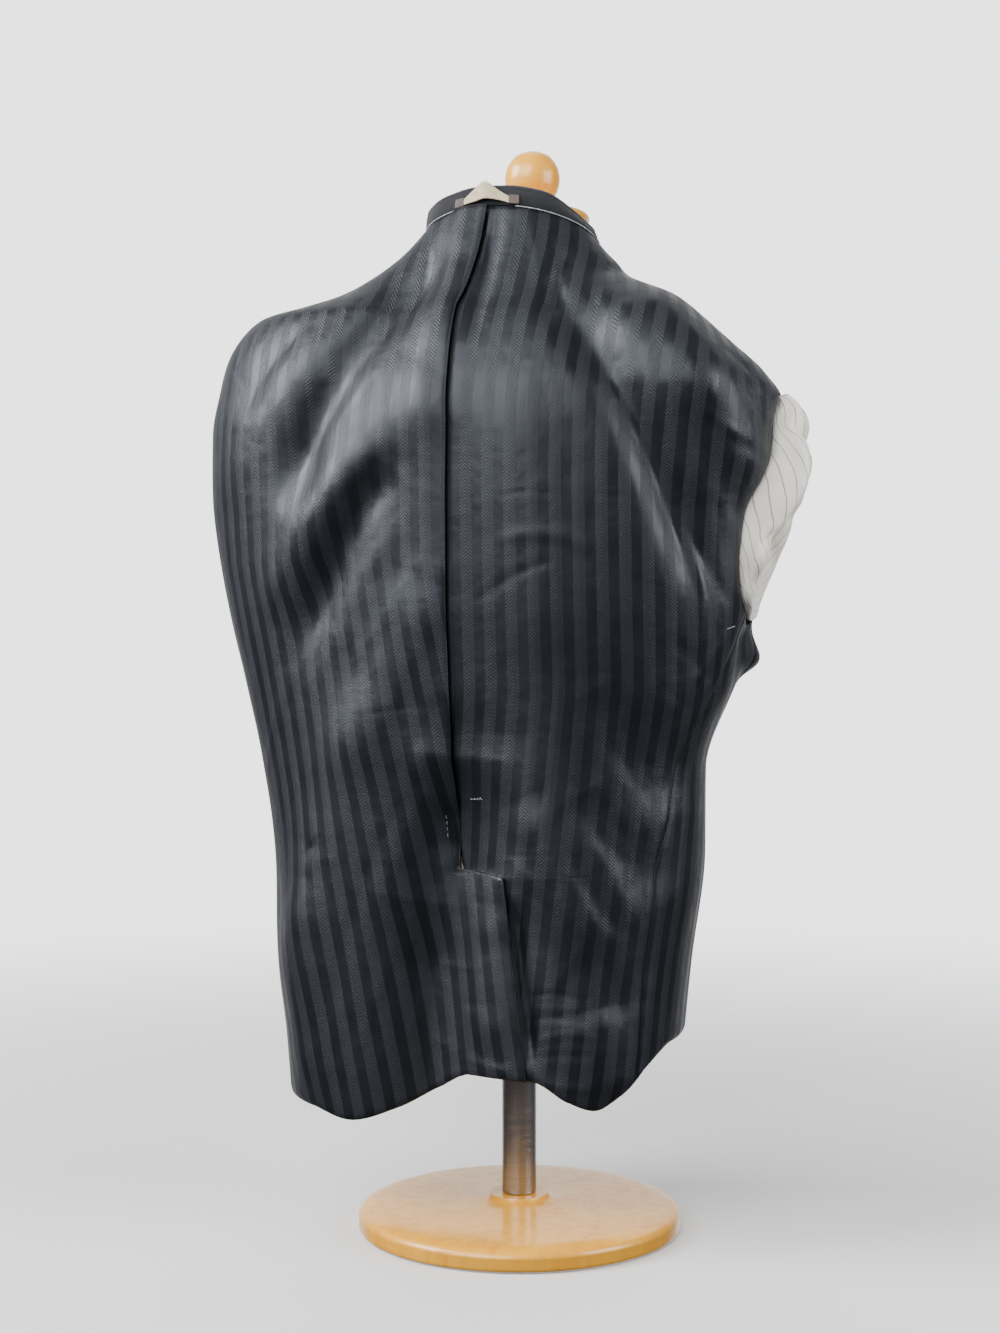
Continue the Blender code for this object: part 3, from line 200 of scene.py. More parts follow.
# Fronts: height, facing seam from the centre, front edge or lapel roll from the centre, lapel width
FRONTS = (
    ("below hem", 0.080, 0.086, 0.034, 0.010),
    ("corner", 0.130, 0.086, 0.029, 0.010),
    ("hem", 0.180, 0.086, 0.021, 0.010),
    ("skirt", 0.260, 0.085, 0.016, 0.010),
    ("buttons", 0.440, 0.082, 0.013, 0.010),
    ("break", 0.560, 0.082, 0.013, 0.012),
    ("lapel low", 0.630, 0.088, 0.024, 0.034),
    ("lapel mid", 0.710, 0.098, 0.040, 0.056),
    ("lapel high", 0.780, 0.106, 0.053, 0.070),
    ("lapel point", 0.825, 0.108, 0.061, 0.066),
    ("gorge", 0.855, 0.105, 0.067, 0.034),
    ("neck slope", 0.880, 0.098, 0.072, 0.009),
    ("neck base", 0.900, 0.0885, 0.0755, 0.008),
    ("neck seam", 0.921, 0.0795, 0.0740, 0.006),
)

# Armhole: share of its height, back edge, front edge of the right one, and the same of the left
ARMHOLE = (
    ("foot", 0.000, 91.5, 91.5, 92.0, 92.0),
    ("foot curve", 0.010, 86.5, 96.5, 88.0, 96.5),
    ("low", 0.040, 81.0, 101.5, 85.0, 101.0),
    ("scye low", 0.090, 75.5, 107.5, 82.0, 106.0),
    ("scye", 0.170, 71.8, 112.5, 80.0, 110.0),
    ("widest", 0.290, 69.8, 115.5, 78.8, 112.0),
    ("middle", 0.450, 70.8, 115.5, 78.4, 111.5),
    ("upper", 0.600, 74.0, 112.5, 79.0, 109.0),
    ("high", 0.770, 78.5, 107.5, 80.5, 105.0),
    ("head", 0.920, 82.5, 101.0, 83.5, 99.0),
    ("point", 1.000, 90.0, 90.0, 90.0, 90.0),
)

# Hem height round the body
HEM = (
    ("front left corner", -180.0, 0.150), ("front left", -172.0, 0.133), ("left of front", -163.0, 0.119),
    ("left pocket", -140.0, 0.113), ("left side front", -110.0, 0.119), ("left side", -75.0, 0.125),
    ("left cone edge", -46.0, 0.122), ("left cone", -33.0, 0.1145), ("left of cone", -20.0, 0.1275),
    ("left of back", -9.0, 0.1475), ("centre back", 1.0, 0.1630), ("slit", 22.0, 0.1600),
    ("right of slit", 33.0, 0.1430), ("right cone", 42.0, 0.1350), ("right cone edge", 51.0, 0.1470),
    ("right seam", 60.0, 0.1690), ("right side", 76.0, 0.1860), ("right side front", 105.0, 0.1880),
    ("right pocket", 135.0, 0.1560), ("right of front", 160.0, 0.1340), ("front right", 172.0, 0.1400),
    ("front right corner", 180.0, 0.1520),
)

# Heights of the rows of points
ROW_HEIGHTS = (0.160, 0.176, 0.195, 0.218, 0.244, 0.270, 0.296, 0.320, 0.3375, 0.3445, 0.360, 0.382, 0.405,
               0.430, 0.456, 0.482, 0.511, 0.540, 0.569, 0.583, 0.608, 0.634, 0.660, 0.686, 0.712, 0.738,
               0.762, 0.784, 0.806, 0.827, 0.847, 0.860, 0.876, 0.894, 0.908, 0.921)

# Collar: round the neck, height of the stand, how far the stand leans in
COLLAR = (
    ("left end", -108.0, 0.0165, 0.0015), ("left", -70.0, 0.0165, 0.0020),
    ("left back", -30.0, 0.0150, 0.0030), ("back", 0.0, 0.0155, 0.0035),
    ("right back", 30.0, 0.0155, 0.0035), ("right", 65.0, 0.0080, 0.0030),
    ("right end", 108.0, 0.0070, 0.0020),
)

# Sleeve lining coming out of the right armhole: share of the hole's radius, how far out
PUFF = (
    ("mouth", 0.930, -0.0026), ("swell", 0.935, 0.0120), ("side", 0.945, 0.0270),
    ("shoulder", 0.900, 0.0380), ("crest", 0.800, 0.0440), ("fall", 0.640, 0.0400),
    ("throat", 0.510, 0.0240), ("in", 0.460, 0.0040), ("end", 0.440, -0.0140),
)
# Share of the puff's height, by height up the hole and at its back and front
PUFF_SWELL = (
    ("foot", 0.00, 0.08), ("low", 0.15, 0.34), ("lower", 0.30, 0.70), ("middle", 0.50, 0.98),
    ("main", 0.68, 0.98), ("main top", 0.79, 0.90), ("crease", 0.86, 0.62), ("upper roll", 0.93, 0.66),
    ("point", 1.00, 0.36),
)
# The puff's own folds: where round the hole, half-width round, height
PUFF_FOLDS = (
    ("back low", 0.10, 0.030, -0.0040), ("back crease", 0.19, 0.022, -0.0050),
    ("back lobe", 0.26, 0.035, 0.0030), ("top crease", 0.41, 0.020, -0.0040),
    ("front lobe", 0.62, 0.040, 0.0030), ("front crease", 0.74, 0.030, -0.0050),
    ("front low", 0.88, 0.030, -0.0030),
)
# Sleeve lining falling into the left armhole: share of the hole's radius, how far out
FUNNEL = (
    ("mouth", 0.972, -0.0018), ("lip", 0.900, -0.0034), ("slope", 0.790, -0.0060), ("throat", 0.680, -0.0085),
    ("end", 0.580, -0.0110),
)
# Tucked sleeve: height share from its top down, centre angle, half-angle, thickness share, own fold
SLEEVE = (
    ("top", 0.00, 92.0, 30.0, 1.00, 0.0), ("upper", 0.16, 94.0, 32.0, 1.00, 1.0),
    ("elbow up", 0.36, 97.0, 32.0, 0.92, -1.0), ("elbow", 0.52, 100.0, 30.0, 0.95, 1.0),
    ("lower", 0.72, 102.0, 28.0, 0.85, -0.7), ("wrist", 0.90, 103.0, 26.0, 0.80, 0.5),
    ("cuff", 1.00, 103.5, 25.0, 0.80, 0.0),
)

# Turned pieces: radius, height
CAP = (
    (0.0470, 0.9444), (0.0530, 0.9460), (0.0545, 0.9490), (0.0530, 0.9525), (0.0420, 0.9550),
    (0.0200, 0.9560),
)
KNOB = (
    (0.0150, 0.9564), (0.0165, 0.9580), (0.0130, 0.9605), (0.0125, 0.9635), (0.0165, 0.9660),
    (0.0215, 0.9725), (0.0250, 0.9800), (0.0262, 0.9880), (0.0250, 0.9960), (0.0215, 1.0035),
    (0.0160, 1.0095), (0.0085, 1.0130),
)
FOOT = (
    (0.1460, 0.0000), (0.1500, 0.0030), (0.1500, 0.0130), (0.1460, 0.0180), (0.1320, 0.0210),
    (0.0420, 0.0245), (0.0300, 0.0270), (0.0270, 0.0310),
)
POST = ((0.0160, 0.0314), (0.0160, 0.2146))

# Creases and pulls too small for the frame's solids, in the same columns as FOLDS, like ones together
CREASES = {
    "left neck pull": ((67, 909, 116, 837, 147, 775, 7.5, -0.7), (77, 895, 131, 831, 175, 790, 8.8, 0.6),
        (58, 894, 82, 822, 97, 760, 6.3, -0.5), (51, 904, 52, 820, 63, 740, 5.6, 0.5)),
    "left shoulder press": ((183, 832, 224, 797, 244, 752, 7.8, -0.6),),
    "left shoulder roll": ((260, 844, 272, 774, 283, 710, 7.2, 0.5),),
    "left sleeve-head pucker": ((234, 843, 238, 818, 264, 822, 3.9, -0.4),
        (268, 814, 253, 792, 233, 777, 3.9, -0.4)),
    "left valley edge": ((79, 802, 141, 746, 219, 635, 6.3, 0.6),),
    "left blade crease": ((82, 710, 131, 676, 174, 619, 6.3, -0.7),
        (69, 670, 111, 624, 173, 547, 7.5, -0.7), (108, 697, 147, 663, 187, 584, 5.6, 0.6),
        (54, 617, 92, 567, 137, 502, 6.3, 0.5)),
    "left waist crease": ((174, 619, 197, 590, 218, 529, 5.6, -0.6),
        (148, 547, 194, 502, 203, 453, 6.3, -0.5), (206, 501, 218, 463, 238, 405, 5, 0.5),
        (57, 546, 85, 491, 104, 447, 6.9, 0.5)),
    "left press line": ((115, 478, 70, 488, 34, 488, 1.8, -0.3),),
    "left seat crease": ((40, 493, 58, 461, 87, 413, 6.3, -0.6), (54, 416, 81, 361, 107, 295, 7.5, 0.7),
        (76, 404, 109, 354, 128, 276, 6.3, -0.7), (43, 394, 60, 356, 77, 332, 5.6, -0.7)),
    "left dimple upper": ((185, 365, 171, 357, 151, 358, 5.3, -0.4),),
    "left dimple lower": ((165, 354, 149, 344, 134, 350, 4.4, 0.3),),
    "left dimple fan": ((170, 359, 178, 342, 181, 318, 4.4, -0.2),),
    "left skirt crease": ((118, 313, 142, 240, 157, 166, 7.5, -0.7),
        (87, 279, 106, 225, 127, 162, 6.3, 0.6), (59, 316, 75, 265, 75, 202, 5.6, -0.6)),
    "left hem crease": ((149, 166, 163, 134, 167, 119, 6.3, 0.5),),
    "left side crease": ((254, 623, 236, 548, 241, 472, 6.9, 0.5),
        (282, 588, 261, 502, 242, 417, 6.3, -0.5), (237, 397, 227, 320, 223, 245, 6.9, 0.4),
        (230, 339, 187, 272, 186, 199, 6.3, -0.4)),
    "vent flap top": ((48, 320, 34, 340, 9, 331, 6.5, 0.3),),
    "vent flap knuckle": ((50, 317, 56, 290, 46, 265, 6.5, 0.5),),
    "vent flap hollow": ((26, 319, 16, 286, 5, 267, 7.8, -0.4),),
    "vent flap streak": ((36, 300, 26, 245, 1, 190, 3.4, 1.1), (15, 306, 2, 246, -17, 185, 3.6, -1.1),
        (-4, 315, -13, 253, -26, 198, 3.4, 1.1)),
    "vent flap fold low": ((54, 238, 25, 213, -19, 233, 4, -0.5),),
    "vent flap fold mid": ((50, 260, 22, 248, -15, 269, 3.2, 0.4),),
    "vent hem roll": ((53, 189, 0, 171, -30, 169, 4, 1),),
    "pleat end pull": ((27, 399, 9, 382, -16, 376, 4.8, -0.2), (29, 405, -8, 403, -45, 363, 6, 0.2),
        (20, 379, 8, 358, -27, 347, 5.4, 0.2)),
    "vent corner pull": ((-19, 333, -32, 346, -59, 367, 4.8, 0.3),
        (-17, 339, 11, 349, 39, 341, 4.8, -0.3), (-21, 328, -43, 330, -71, 295, 4.3, -0.3)),
    "right vent sheen": ((-23, 353, -61, 326, -66, 268, 5.7, 1.1),
        (-28, 319, -41, 279, -42, 225, 4.6, 0.8)),
    "right vent crease": ((-38, 337, -74, 301, -72, 234, 4.8, -1),
        (-71, 320, -101, 268, -97, 216, 5.7, 0.8)),
    "right vent pucker": ((-39, 233, -65, 243, -97, 229, 3.1, -0.5),
        (-42, 223, -67, 230, -101, 219, 2.9, 0.4), (-40, 211, -70, 224, -103, 207, 3.1, -0.5),
        (-45, 193, -75, 211, -111, 195, 3.7, 0.5), (-44, 178, -75, 191, -116, 178, 3.7, -0.4),
        (-54, 161, -85, 153, -106, 154, 4.4, 0.6)),
    "right seat press": ((-67, 341, -75, 336, -97, 340, 1.6, -0.3),
        (-65, 336, -78, 330, -95, 335, 1.6, -0.3), (-2, 360, -44, 355, -90, 357, 1.4, -0.3)),
    "right seat crease": ((-69, 367, -98, 316, -122, 283, 7.2, -0.9),
        (-92, 371, -123, 330, -133, 274, 6.5, 0.8), (-102, 268, -121, 233, -125, 186, 6.5, -0.7),
        (-81, 286, -96, 244, -104, 191, 6, 0.7)),
    "right drag crease": ((-73, 879, -122, 802, -160, 693, 4.6, -1.1),
        (-91, 871, -155, 787, -192, 650, 5.5, 0.9), (-56, 886, -88, 823, -123, 736, 4.6, 0.8),
        (-132, 737, -170, 662, -187, 573, 4.4, -1.3), (-166, 668, -187, 618, -194, 557, 3.5, 1.3),
        (-178, 650, -198, 610, -201, 550, 3.1, -1.1)),
    "right drag fold edge": ((-184, 616, -191, 573, -183, 522, 4.5, 2),),
    "right shoulder crease": ((-125, 843, -160, 817, -186, 793, 4.6, 0.7),
        (-155, 817, -192, 778, -207, 745, 5.2, -0.8), (-91, 886, -125, 868, -161, 829, 3.9, -0.7)),
    "right armhole dent": ((-197, 799, -218, 795, -236, 765, 3.7, -1),
        (-219, 760, -232, 756, -239, 734, 3.4, 0.9), (-207, 720, -222, 710, -231, 704, 3.9, -0.8),
        (-197, 680, -212, 653, -216, 616, 4.6, 0.8), (-191, 626, -201, 593, -209, 573, 3.9, -1)),
    "right shoulder press": ((-181, 753, -206, 723, -227, 722, 4, 1),),
    "right blade press": ((-19, 671, -47, 678, -74, 670, 1.6, -0.5),
        (-94, 669, -112, 674, -134, 667, 1.6, -0.3)),
    "right waist press": ((33, 460, -6, 469, -46, 461, 1.6, -0.3),),
    "right blade crease": ((-19, 633, -78, 651, -105, 615, 6, 1), (0, 581, -39, 612, -71, 615, 4.5, -0.8)),
    "right waist crease": ((-146, 502, -157, 490, -168, 481, 5.2, 0.6),
        (-131, 476, -140, 454, -145, 435, 5.5, 0.6), (-110, 455, -128, 432, -139, 400, 6.5, -0.7),
        (-91, 427, -116, 404, -136, 365, 6.5, 0.6), (-86, 397, -106, 364, -136, 340, 7.2, -0.7),
        (-79, 334, -94, 304, -116, 275, 6, 0.6), (-165, 546, -185, 519, -193, 506, 5.2, -0.6),
        (-174, 493, -152, 470, -149, 432, 5.2, -0.5)),
    "right underarm crease": ((-200, 547, -190, 525, -174, 504, 3.9, 1),
        (-207, 538, -198, 505, -184, 482, 4.1, -1)),
    "right side crease": ((-153, 387, -147, 322, -140, 273, 5.2, 0.8),
        (-161, 458, -165, 407, -166, 341, 5.7, -0.8), (-148, 316, -154, 268, -147, 189, 5.3, -0.7)),
    "right hem crease": ((-117, 231, -116, 186, -111, 155, 5.3, -0.8),
        (-138, 246, -134, 199, -126, 169, 4.8, 0.8)),
    "neck pucker": ((14, 927, 8, 903, 4, 859, 4, -0.8), (-27, 925, -36, 893, -45, 848, 4.6, 0.9),
        (-47, 909, -54, 882, -67, 838, 3.6, -1), (73, 925, 67, 895, 74, 856, 3.6, -1)),
    "front left lapel pull": ((100, 870, 130, 790, 150, 700, 6, -1.6),
        (118, 850, 160, 780, 190, 690, 5, 1.4)),
    "front left chest crease": ((130, 700, 170, 620, 215, 560, 5, -1.6),),
    "front left armhole crease": ((230, 740, 215, 690, 225, 620, 4.5, 1.4),),
    "front left waist crease": ((100, 540, 140, 500, 200, 480, 5, -1.6),
        (95, 480, 130, 450, 190, 440, 5.5, 1.4)),
    "front left button pull": ((90, 445, 120, 420, 165, 370, 4.5, -1.4),),
    "front left skirt crease": ((130, 340, 110, 250, 112, 150, 5.5, 1.4),),
    "front left skirt pull": ((170, 330, 150, 240, 150, 140, 5, -1.4),),
    "front left press": ((95, 300, 130, 304, 185, 300, 1.6, -0.6),),
    "front right lapel pull": ((-85, 865, -110, 790, -135, 700, 6, -1.6),
        (-100, 840, -140, 770, -170, 690, 5, 1.4)),
    "front right chest crease": ((-100, 690, -140, 620, -190, 570, 5, -1.6),),
    "front right armhole crease": ((-205, 720, -190, 670, -200, 610, 4.5, 1.4),),
    "front right waist crease": ((-80, 530, -110, 490, -160, 470, 5, -1.6),
        (-75, 470, -110, 440, -155, 430, 5.5, 1.4)),
    "front right skirt crease": ((-100, 340, -85, 250, -88, 160, 5.5, 1.4),),
    "front right skirt pull": ((-135, 330, -118, 250, -120, 180, 5, -1.4),),
    "front right press": ((-75, 310, -105, 314, -150, 310, 1.6, -0.6),),
}


def columns(rows):
    """The numbers of a named table, a row of the array for each of its rows."""
    return np.array([row[1:] for row in rows], float)


def fold_rows(*tables):
    """Folds in metres, a row for each: face (1 back, -1 front), path, half-width and height."""
    return np.array([(-1.0 if name.startswith("front") else 1.0, *(size / 1000.0 for size in row))
                     for table in tables for name, rows in table.items() for row in rows])


def smooth_through(keys, values, where):
    """Values of a table between its keys, smooth and without overshoot."""
    keys, values = np.asarray(keys, float), np.asarray(values, float)
    where = np.clip(np.asarray(where, float), keys[0], keys[-1])
    step = np.diff(keys)
    slope = np.diff(values) / step
    grade = np.zeros(len(keys))
    inner = slope[:-1] * slope[1:] > 0
    grade[1:-1][inner] = 2.0 * slope[:-1][inner] * slope[1:][inner] / (slope[:-1][inner] + slope[1:][inner])
    grade[0], grade[-1] = slope[0], slope[-1]
    k = np.clip(np.searchsorted(keys, where, side="right") - 1, 0, len(keys) - 2)
    f = (where - keys[k]) / step[k]
    return ((2 * f**3 - 3 * f**2 + 1) * values[k] + (f**3 - 2 * f**2 + f) * grade[k] * step[k]
            + (3 * f**2 - 2 * f**3) * values[k + 1] + (f**3 - f**2) * grade[k + 1] * step[k])


def read(rows, where, *numbers):
    """Columns of a table of numbers at places along its first column."""
    return [smooth_through(rows[:, 0], rows[:, number], where) for number in numbers]


def read_even(rows, where):
    """All columns of a table of numbers at places counted in its rows."""
    keys = np.arange(len(rows), dtype=float)
    return [float(smooth_through(keys, column, where)) for column in rows.T]


def ease(value):
    """Smooth step from 0 to 1."""
    value = np.clip(value, 0.0, 1.0)
    return value * value * (3.0 - 2.0 * value)


def sign_of(side):
    """Sign of the angles on a side."""
    return 1.0 if side == "right" else -1.0


BODY_ROWS = columns(BODY)
FOLD_ROWS = fold_rows(FOLDS, CREASES)
ROLL_ROWS = columns(ROLLS)
SEAM_ROWS = columns(SEAMS)
CENTRE_ROWS = columns(CENTRE_BACK)
FRONT_ROWS = columns(FRONTS)
HOLE_ROWS = columns(ARMHOLE)
HEM_ROWS = columns(HEM)
COLLAR_ROWS = columns(COLLAR)
SLEEVE_ROWS = columns(SLEEVE)
LEVELS = np.arange(len(BODY_ROWS), dtype=float)
FINE_LEVELS = np.linspace(0.0, LEVELS[-1], 1600)
FINE_HEIGHTS = smooth_through(LEVELS, BODY_ROWS[:, 0], FINE_LEVELS)


def ring(angle, height):
    """Point of the plain body at an angle and a height, before any fold."""
    angle, height = np.broadcast_arrays(np.radians(angle), np.asarray(height, float))
    past_top = np.clip(height - FINE_HEIGHTS[-1], 0.0, None)
    level = np.interp(height, FINE_HEIGHTS, FINE_LEVELS) + past_top / TOP_STEP
    over = np.clip(level - LEVELS[-1], 0.0, None)
    sizes = (smooth_through(LEVELS, column, level) for column in BODY_ROWS.T)
    tall, left, right, back, front, shift, nape = sizes
    s, c = np.sin(angle), np.cos(angle)
    q = (np.abs(s) ** SQUARENESS + np.abs(c) ** SQUARENESS) ** (1.0 / SQUARENESS)
    wide = np.where(s < 0, left, right) - TOP_TAPER[0] * over
    deep = np.where(c > 0, back, front) - TOP_TAPER[1] * over
    rise = nape * (np.clip(c, 0, 1) ** NAPE_CURVE - THROAT_DROP * np.clip(-c, 0, 1) ** NAPE_CURVE)
    across = shift - wide * s / q
    rise = rise + LEAN * across * ease((height - LEAN_FROM) / LEAN_OVER)
    return np.stack([across, deep * c / q, tall + TOP_STEP * over + rise], axis=-1)


def unit(vector):
    return vector / np.maximum(np.linalg.norm(vector, axis=-1, keepdims=True), 1e-12)


def slope_normal(surface, u, v, du, dv):
    """Outward normal of a surface given as a function of two numbers."""
    return unit(np.cross(surface(u + du, v) - surface(u - du, v), surface(u, v + dv) - surface(u, v - dv)))


def ring_normal(angle, height):
    return slope_normal(ring, angle, height, 0.5, 0.0006)


def fold_height(angle, point):
    """Height of all folds, creases and rolls at points of the body."""
    total = np.zeros(point.shape[:-1])
    facing_back = np.broadcast_to(np.cos(np.radians(angle)), total.shape)
    t = np.linspace(0.0, 1.0, PATH_POINTS)
    for face, x0, z0, x1, z1, x2, z2, half, high in FOLD_ROWS:
        px = (1 - t) ** 2 * x0 + 2 * t * (1 - t) * x1 + t**2 * x2
        pz = (1 - t) ** 2 * z0 + 2 * t * (1 - t) * z1 + t**2 * z2
        reach = 3.0 * half
        close = ((point[..., 0] > px.min() - reach) & (point[..., 0] < px.max() + reach)
                 & (point[..., 2] > pz.min() - reach) & (point[..., 2] < pz.max() + reach))
        if not close.any():
            continue
        x, z = point[close][:, 0, None] - px[:-1], point[close][:, 2, None] - pz[:-1]
        dx, dz = np.diff(px), np.diff(pz)
        part = np.clip((x * dx + z * dz) / (dx**2 + dz**2), 0.0, 1.0)
        away = (x - part * dx) ** 2 + (z - part * dz) ** 2
        pick = np.argmin(away, axis=-1)[:, None]
        near = np.take_along_axis(away, pick, axis=-1)[:, 0]
        along_path = (pick[:, 0] + np.take_along_axis(part, pick, axis=-1)[:, 0]) / len(dx)
        fading = ease(along_path / FADE + START_FADE) * ease((1.0 - along_path) / FADE)
        side = ease(0.5 + face * facing_back[close] / FACE_BLEND)
        total[close] += high * fading * np.exp(-near / half**2) * side
    for middle, height, half_angle, half_height, high in ROLL_ROWS:
        away = (((angle - middle + 180.0) % 360.0 - 180.0) / half_angle) ** 2
        total += high * np.exp(-away - ((point[..., 2] - height) / half_height) ** 2)
    return total


def skin(angle, height, out=0.0):
    """The draped body surface, moved out along the plain body's normal."""
    angle, height = np.broadcast_arrays(np.asarray(angle, float), np.asarray(height, float))
    point = ring(angle, height)
    return point + ring_normal(angle, height) * (fold_height(angle, point) + out)[..., None]


def along(angle, height):
    """Metres of cloth for a degree round the body."""
    return np.linalg.norm(ring(angle + 0.5, height) - ring(angle - 0.5, height), axis=-1)


def hem_row(angle, height):
    """Height of a row where the hem's wave pulls it."""
    hem = read(HEM_ROWS, (np.asarray(angle) + 180.0) % 360.0 - 180.0, 1)[0]
    share = (height - ROW_HEIGHTS[0]) / (HEM_BLEND - ROW_HEIGHTS[0])
    return np.where(height < HEM_BLEND, hem + share * (HEM_BLEND - hem), height)


def angle_at(x, height, side):
    """Angle on the front where the body is x from its centre."""
    sign = sign_of(side)
    found = []
    for far, high in zip(np.atleast_1d(x), np.atleast_1d(height)):
        fine = np.linspace(180.0, 92.0, 177)
        line = ring(sign * fine, high)
        middle = ring(180.0, high)[0]
        found.append(np.interp(far, np.abs(line[:, 0] - middle), fine))
    return sign * np.array(found)


def hole_share(side, height):
    """Height up an armhole, from 0 at its foot to 1 at its point."""
    return (height - UNDERARM_HEIGHT[side]) / (POINT_HEIGHT[side] - UNDERARM_HEIGHT[side])


def hole_edge(side, height, back):
    """Angle of the armhole's back or front edge at a height, and the height's share of the armhole."""
    share = hole_share(side, height)
    column = (1 if back else 2) + (0 if side == "right" else 2)
    return read(HOLE_ROWS, share, column)[0], share


def side_corner(side, back):
    """Height and angle where a side seam ends at the armhole."""
    height = UNDERARM_HEIGHT[side] + SEAM_FOOT * (POINT_HEIGHT[side] - UNDERARM_HEIGHT[side])
    return height, float(hole_edge(side, height, back)[0])


def side_edge(side, height, back):
    """Angle (without its sign) of the outer edge of the back or of the front at a height."""
    column = 3 if not back else (1 if side == "right" else 2)
    corner, angle = side_corner(side, back)
    seam = smooth_through(np.append(SEAM_ROWS[:, 0], corner), np.append(SEAM_ROWS[:, column], angle), height)
    hole, share = hole_edge(side, height, back)
    return np.where(share >= 1.0 - 1e-9, 90.0, np.where(share <= SEAM_FOOT + 1e-9, seam, hole))


def hole_loop(side, count):
    """Points of the armhole as angle (signed) and height: foot, back edge, point, front edge."""
    w = np.linspace(0.0, 1.0, 60)
    share = (1.0 - np.cos(math.pi * w)) / 2.0
    low, high = UNDERARM_HEIGHT[side], POINT_HEIGHT[side]
    first = 1 if side == "right" else 3
    back, front = read(HOLE_ROWS, share, first, first + 1)
    angle = np.concatenate([back, front[::-1][1:]]) * sign_of(side)
    height = low + (high - low) * np.concatenate([share, share[::-1][1:]])
    steps = np.linalg.norm(np.diff(ring(angle, height), axis=0), axis=1)
    length = np.concatenate([[0.0], np.cumsum(steps)]) / steps.sum()
    where = np.arange(count) / count
    return np.interp(where, length, angle), np.interp(where, length, height)


def centre_line(height, column):
    return np.interp(height, CENTRE_ROWS[:, 0], CENTRE_ROWS[:, column])


def back_left_surface(angle, height):
    """The left back, raised along the pleat's fold and over the vent."""
    metres = (angle - centre_line(height, 2)) * along(0.0, height)
    pleat = PLEAT_LIFT * ease((metres + 0.045) / 0.030) * ease((height - PLEAT_END + 0.018) / 0.024)
    vent = VENT_LIFT * ease((metres + 0.030) / 0.024) * ease((VENT_TOP + 0.032 - height) / 0.026)
    return skin(angle, height, pleat + vent)


def back_right_surface(angle, height):
    """The right back, dipping away beside the vent's slit."""
    slit = centre_line(np.minimum(height, VENT_TOP - 0.004), 1)
    dip = VENT_DIP * np.exp(-((angle - slit - 2.5) / 2.8) ** 2) * ease((0.325 - height) / 0.03)
    dip = dip * ease((height - 0.165) / 0.04)
    return skin(angle, height, -dip)


def front_lines(side):
    """Angles of the facing's seam, the front edge or roll, and the leaf's end, at close heights."""
    fine = np.linspace(0.08, 0.93, 240)
    seam_x, roll_x, leaf = read(FRONT_ROWS, fine, 1, 2, 3)
    return fine, *(angle_at(x, fine, side) for x in (seam_x, roll_x, roll_x + leaf))


def facing_surface(side):
    """The facing from its seam to the edge or roll (0 to 1), round the fold (to 2), and the leaf (to 3)."""
    sign = sign_of(side)
    fine, seams, rolls, ends = front_lines(side)
    seams = set_in(seams, fine, sign)
    half = LAPEL_DEPTH / 2.0

    def surface(u, height):
        seam, roll, end = (np.interp(height, fine, line) for line in (seams, rolls, ends))
        part = np.clip(u, None, 1.0)
        strip = skin(seam + (roll - seam) * part, height)
        edge = skin(roll, height)
        normal = ring_normal(roll, height)
        across = unit(ring(roll + sign * 0.5, height) - ring(roll - sign * 0.5, height))
        turn = np.clip(u - 1.0, 0.0, 1.0)[..., None] * math.pi
        bend = edge - normal * half + normal * half * np.cos(turn) + across * half * np.sin(turn)
        back = np.clip(u - 2.0, 0.0, None)
        leaf_part = skin(roll + (end - roll) * back, height, -LAPEL_DEPTH)
        return np.where((u <= 1.0)[..., None], strip, np.where((u <= 2.0)[..., None], bend, leaf_part))

    return surface


def neck_edge(angle):
    return skin(angle, NECK_HEIGHT)


def neck_out(angle):
    """Level direction out of the neck seam."""
    flat = neck_edge(angle + 0.5) - neck_edge(angle - 0.5)
    flat[..., 2] = 0.0
    flat = unit(flat)
    return np.stack([flat[..., 1], -flat[..., 0], np.zeros(flat.shape[:-1])], axis=-1)


def above_neck(angle, out, high):
    """A point out of the neck seam and over it."""
    up = np.stack([np.zeros_like(high), np.zeros_like(high), high], axis=-1)
    return neck_edge(angle) + neck_out(angle) * out[..., None] + up


def collar_surface(angle, section):
    """Outer face of the collar: up the stand (0 to 1), over the fold (to 2), down the leaf inside (to 3)."""
    stand, lean = read(COLLAR_ROWS, angle, 1, 2)
    fold = COLLAR_FOLD
    up = np.clip(section, None, 1.0)
    turn = np.clip(section - 1.0, 0.0, 1.0) * math.pi
    down = np.clip(section - 2.0, 0.0, None)
    on_stand, on_fold = section <= 1.0, section <= 2.0
    out = np.where(on_stand, -lean * up * up,
                   np.where(on_fold, -lean - fold + fold * np.cos(turn), -lean - 2 * fold - 0.0012 * down))
    high = np.where(on_stand, stand * up,
                    np.where(on_fold, stand + fold * np.sin(turn), stand - (stand + 0.017) * down))
    return above_neck(angle, out, COLLAR_FOOT + high)


def loop_surface(angle, rise):
    """Outer face of the hanger loop, flat on the collar's stand at its ends and bowed off it between."""
    stand, lean = read(COLLAR_ROWS, angle, 1, 2)
    bow = 0.0040 * np.exp(-((angle + 5.5) / 8.5) ** 2)
    out = LOOP_WALL + 0.0004 + bow - lean * np.clip((rise - COLLAR_FOOT) / stand, 0.0, 1.0) ** 2
    return above_neck(angle, out, rise)


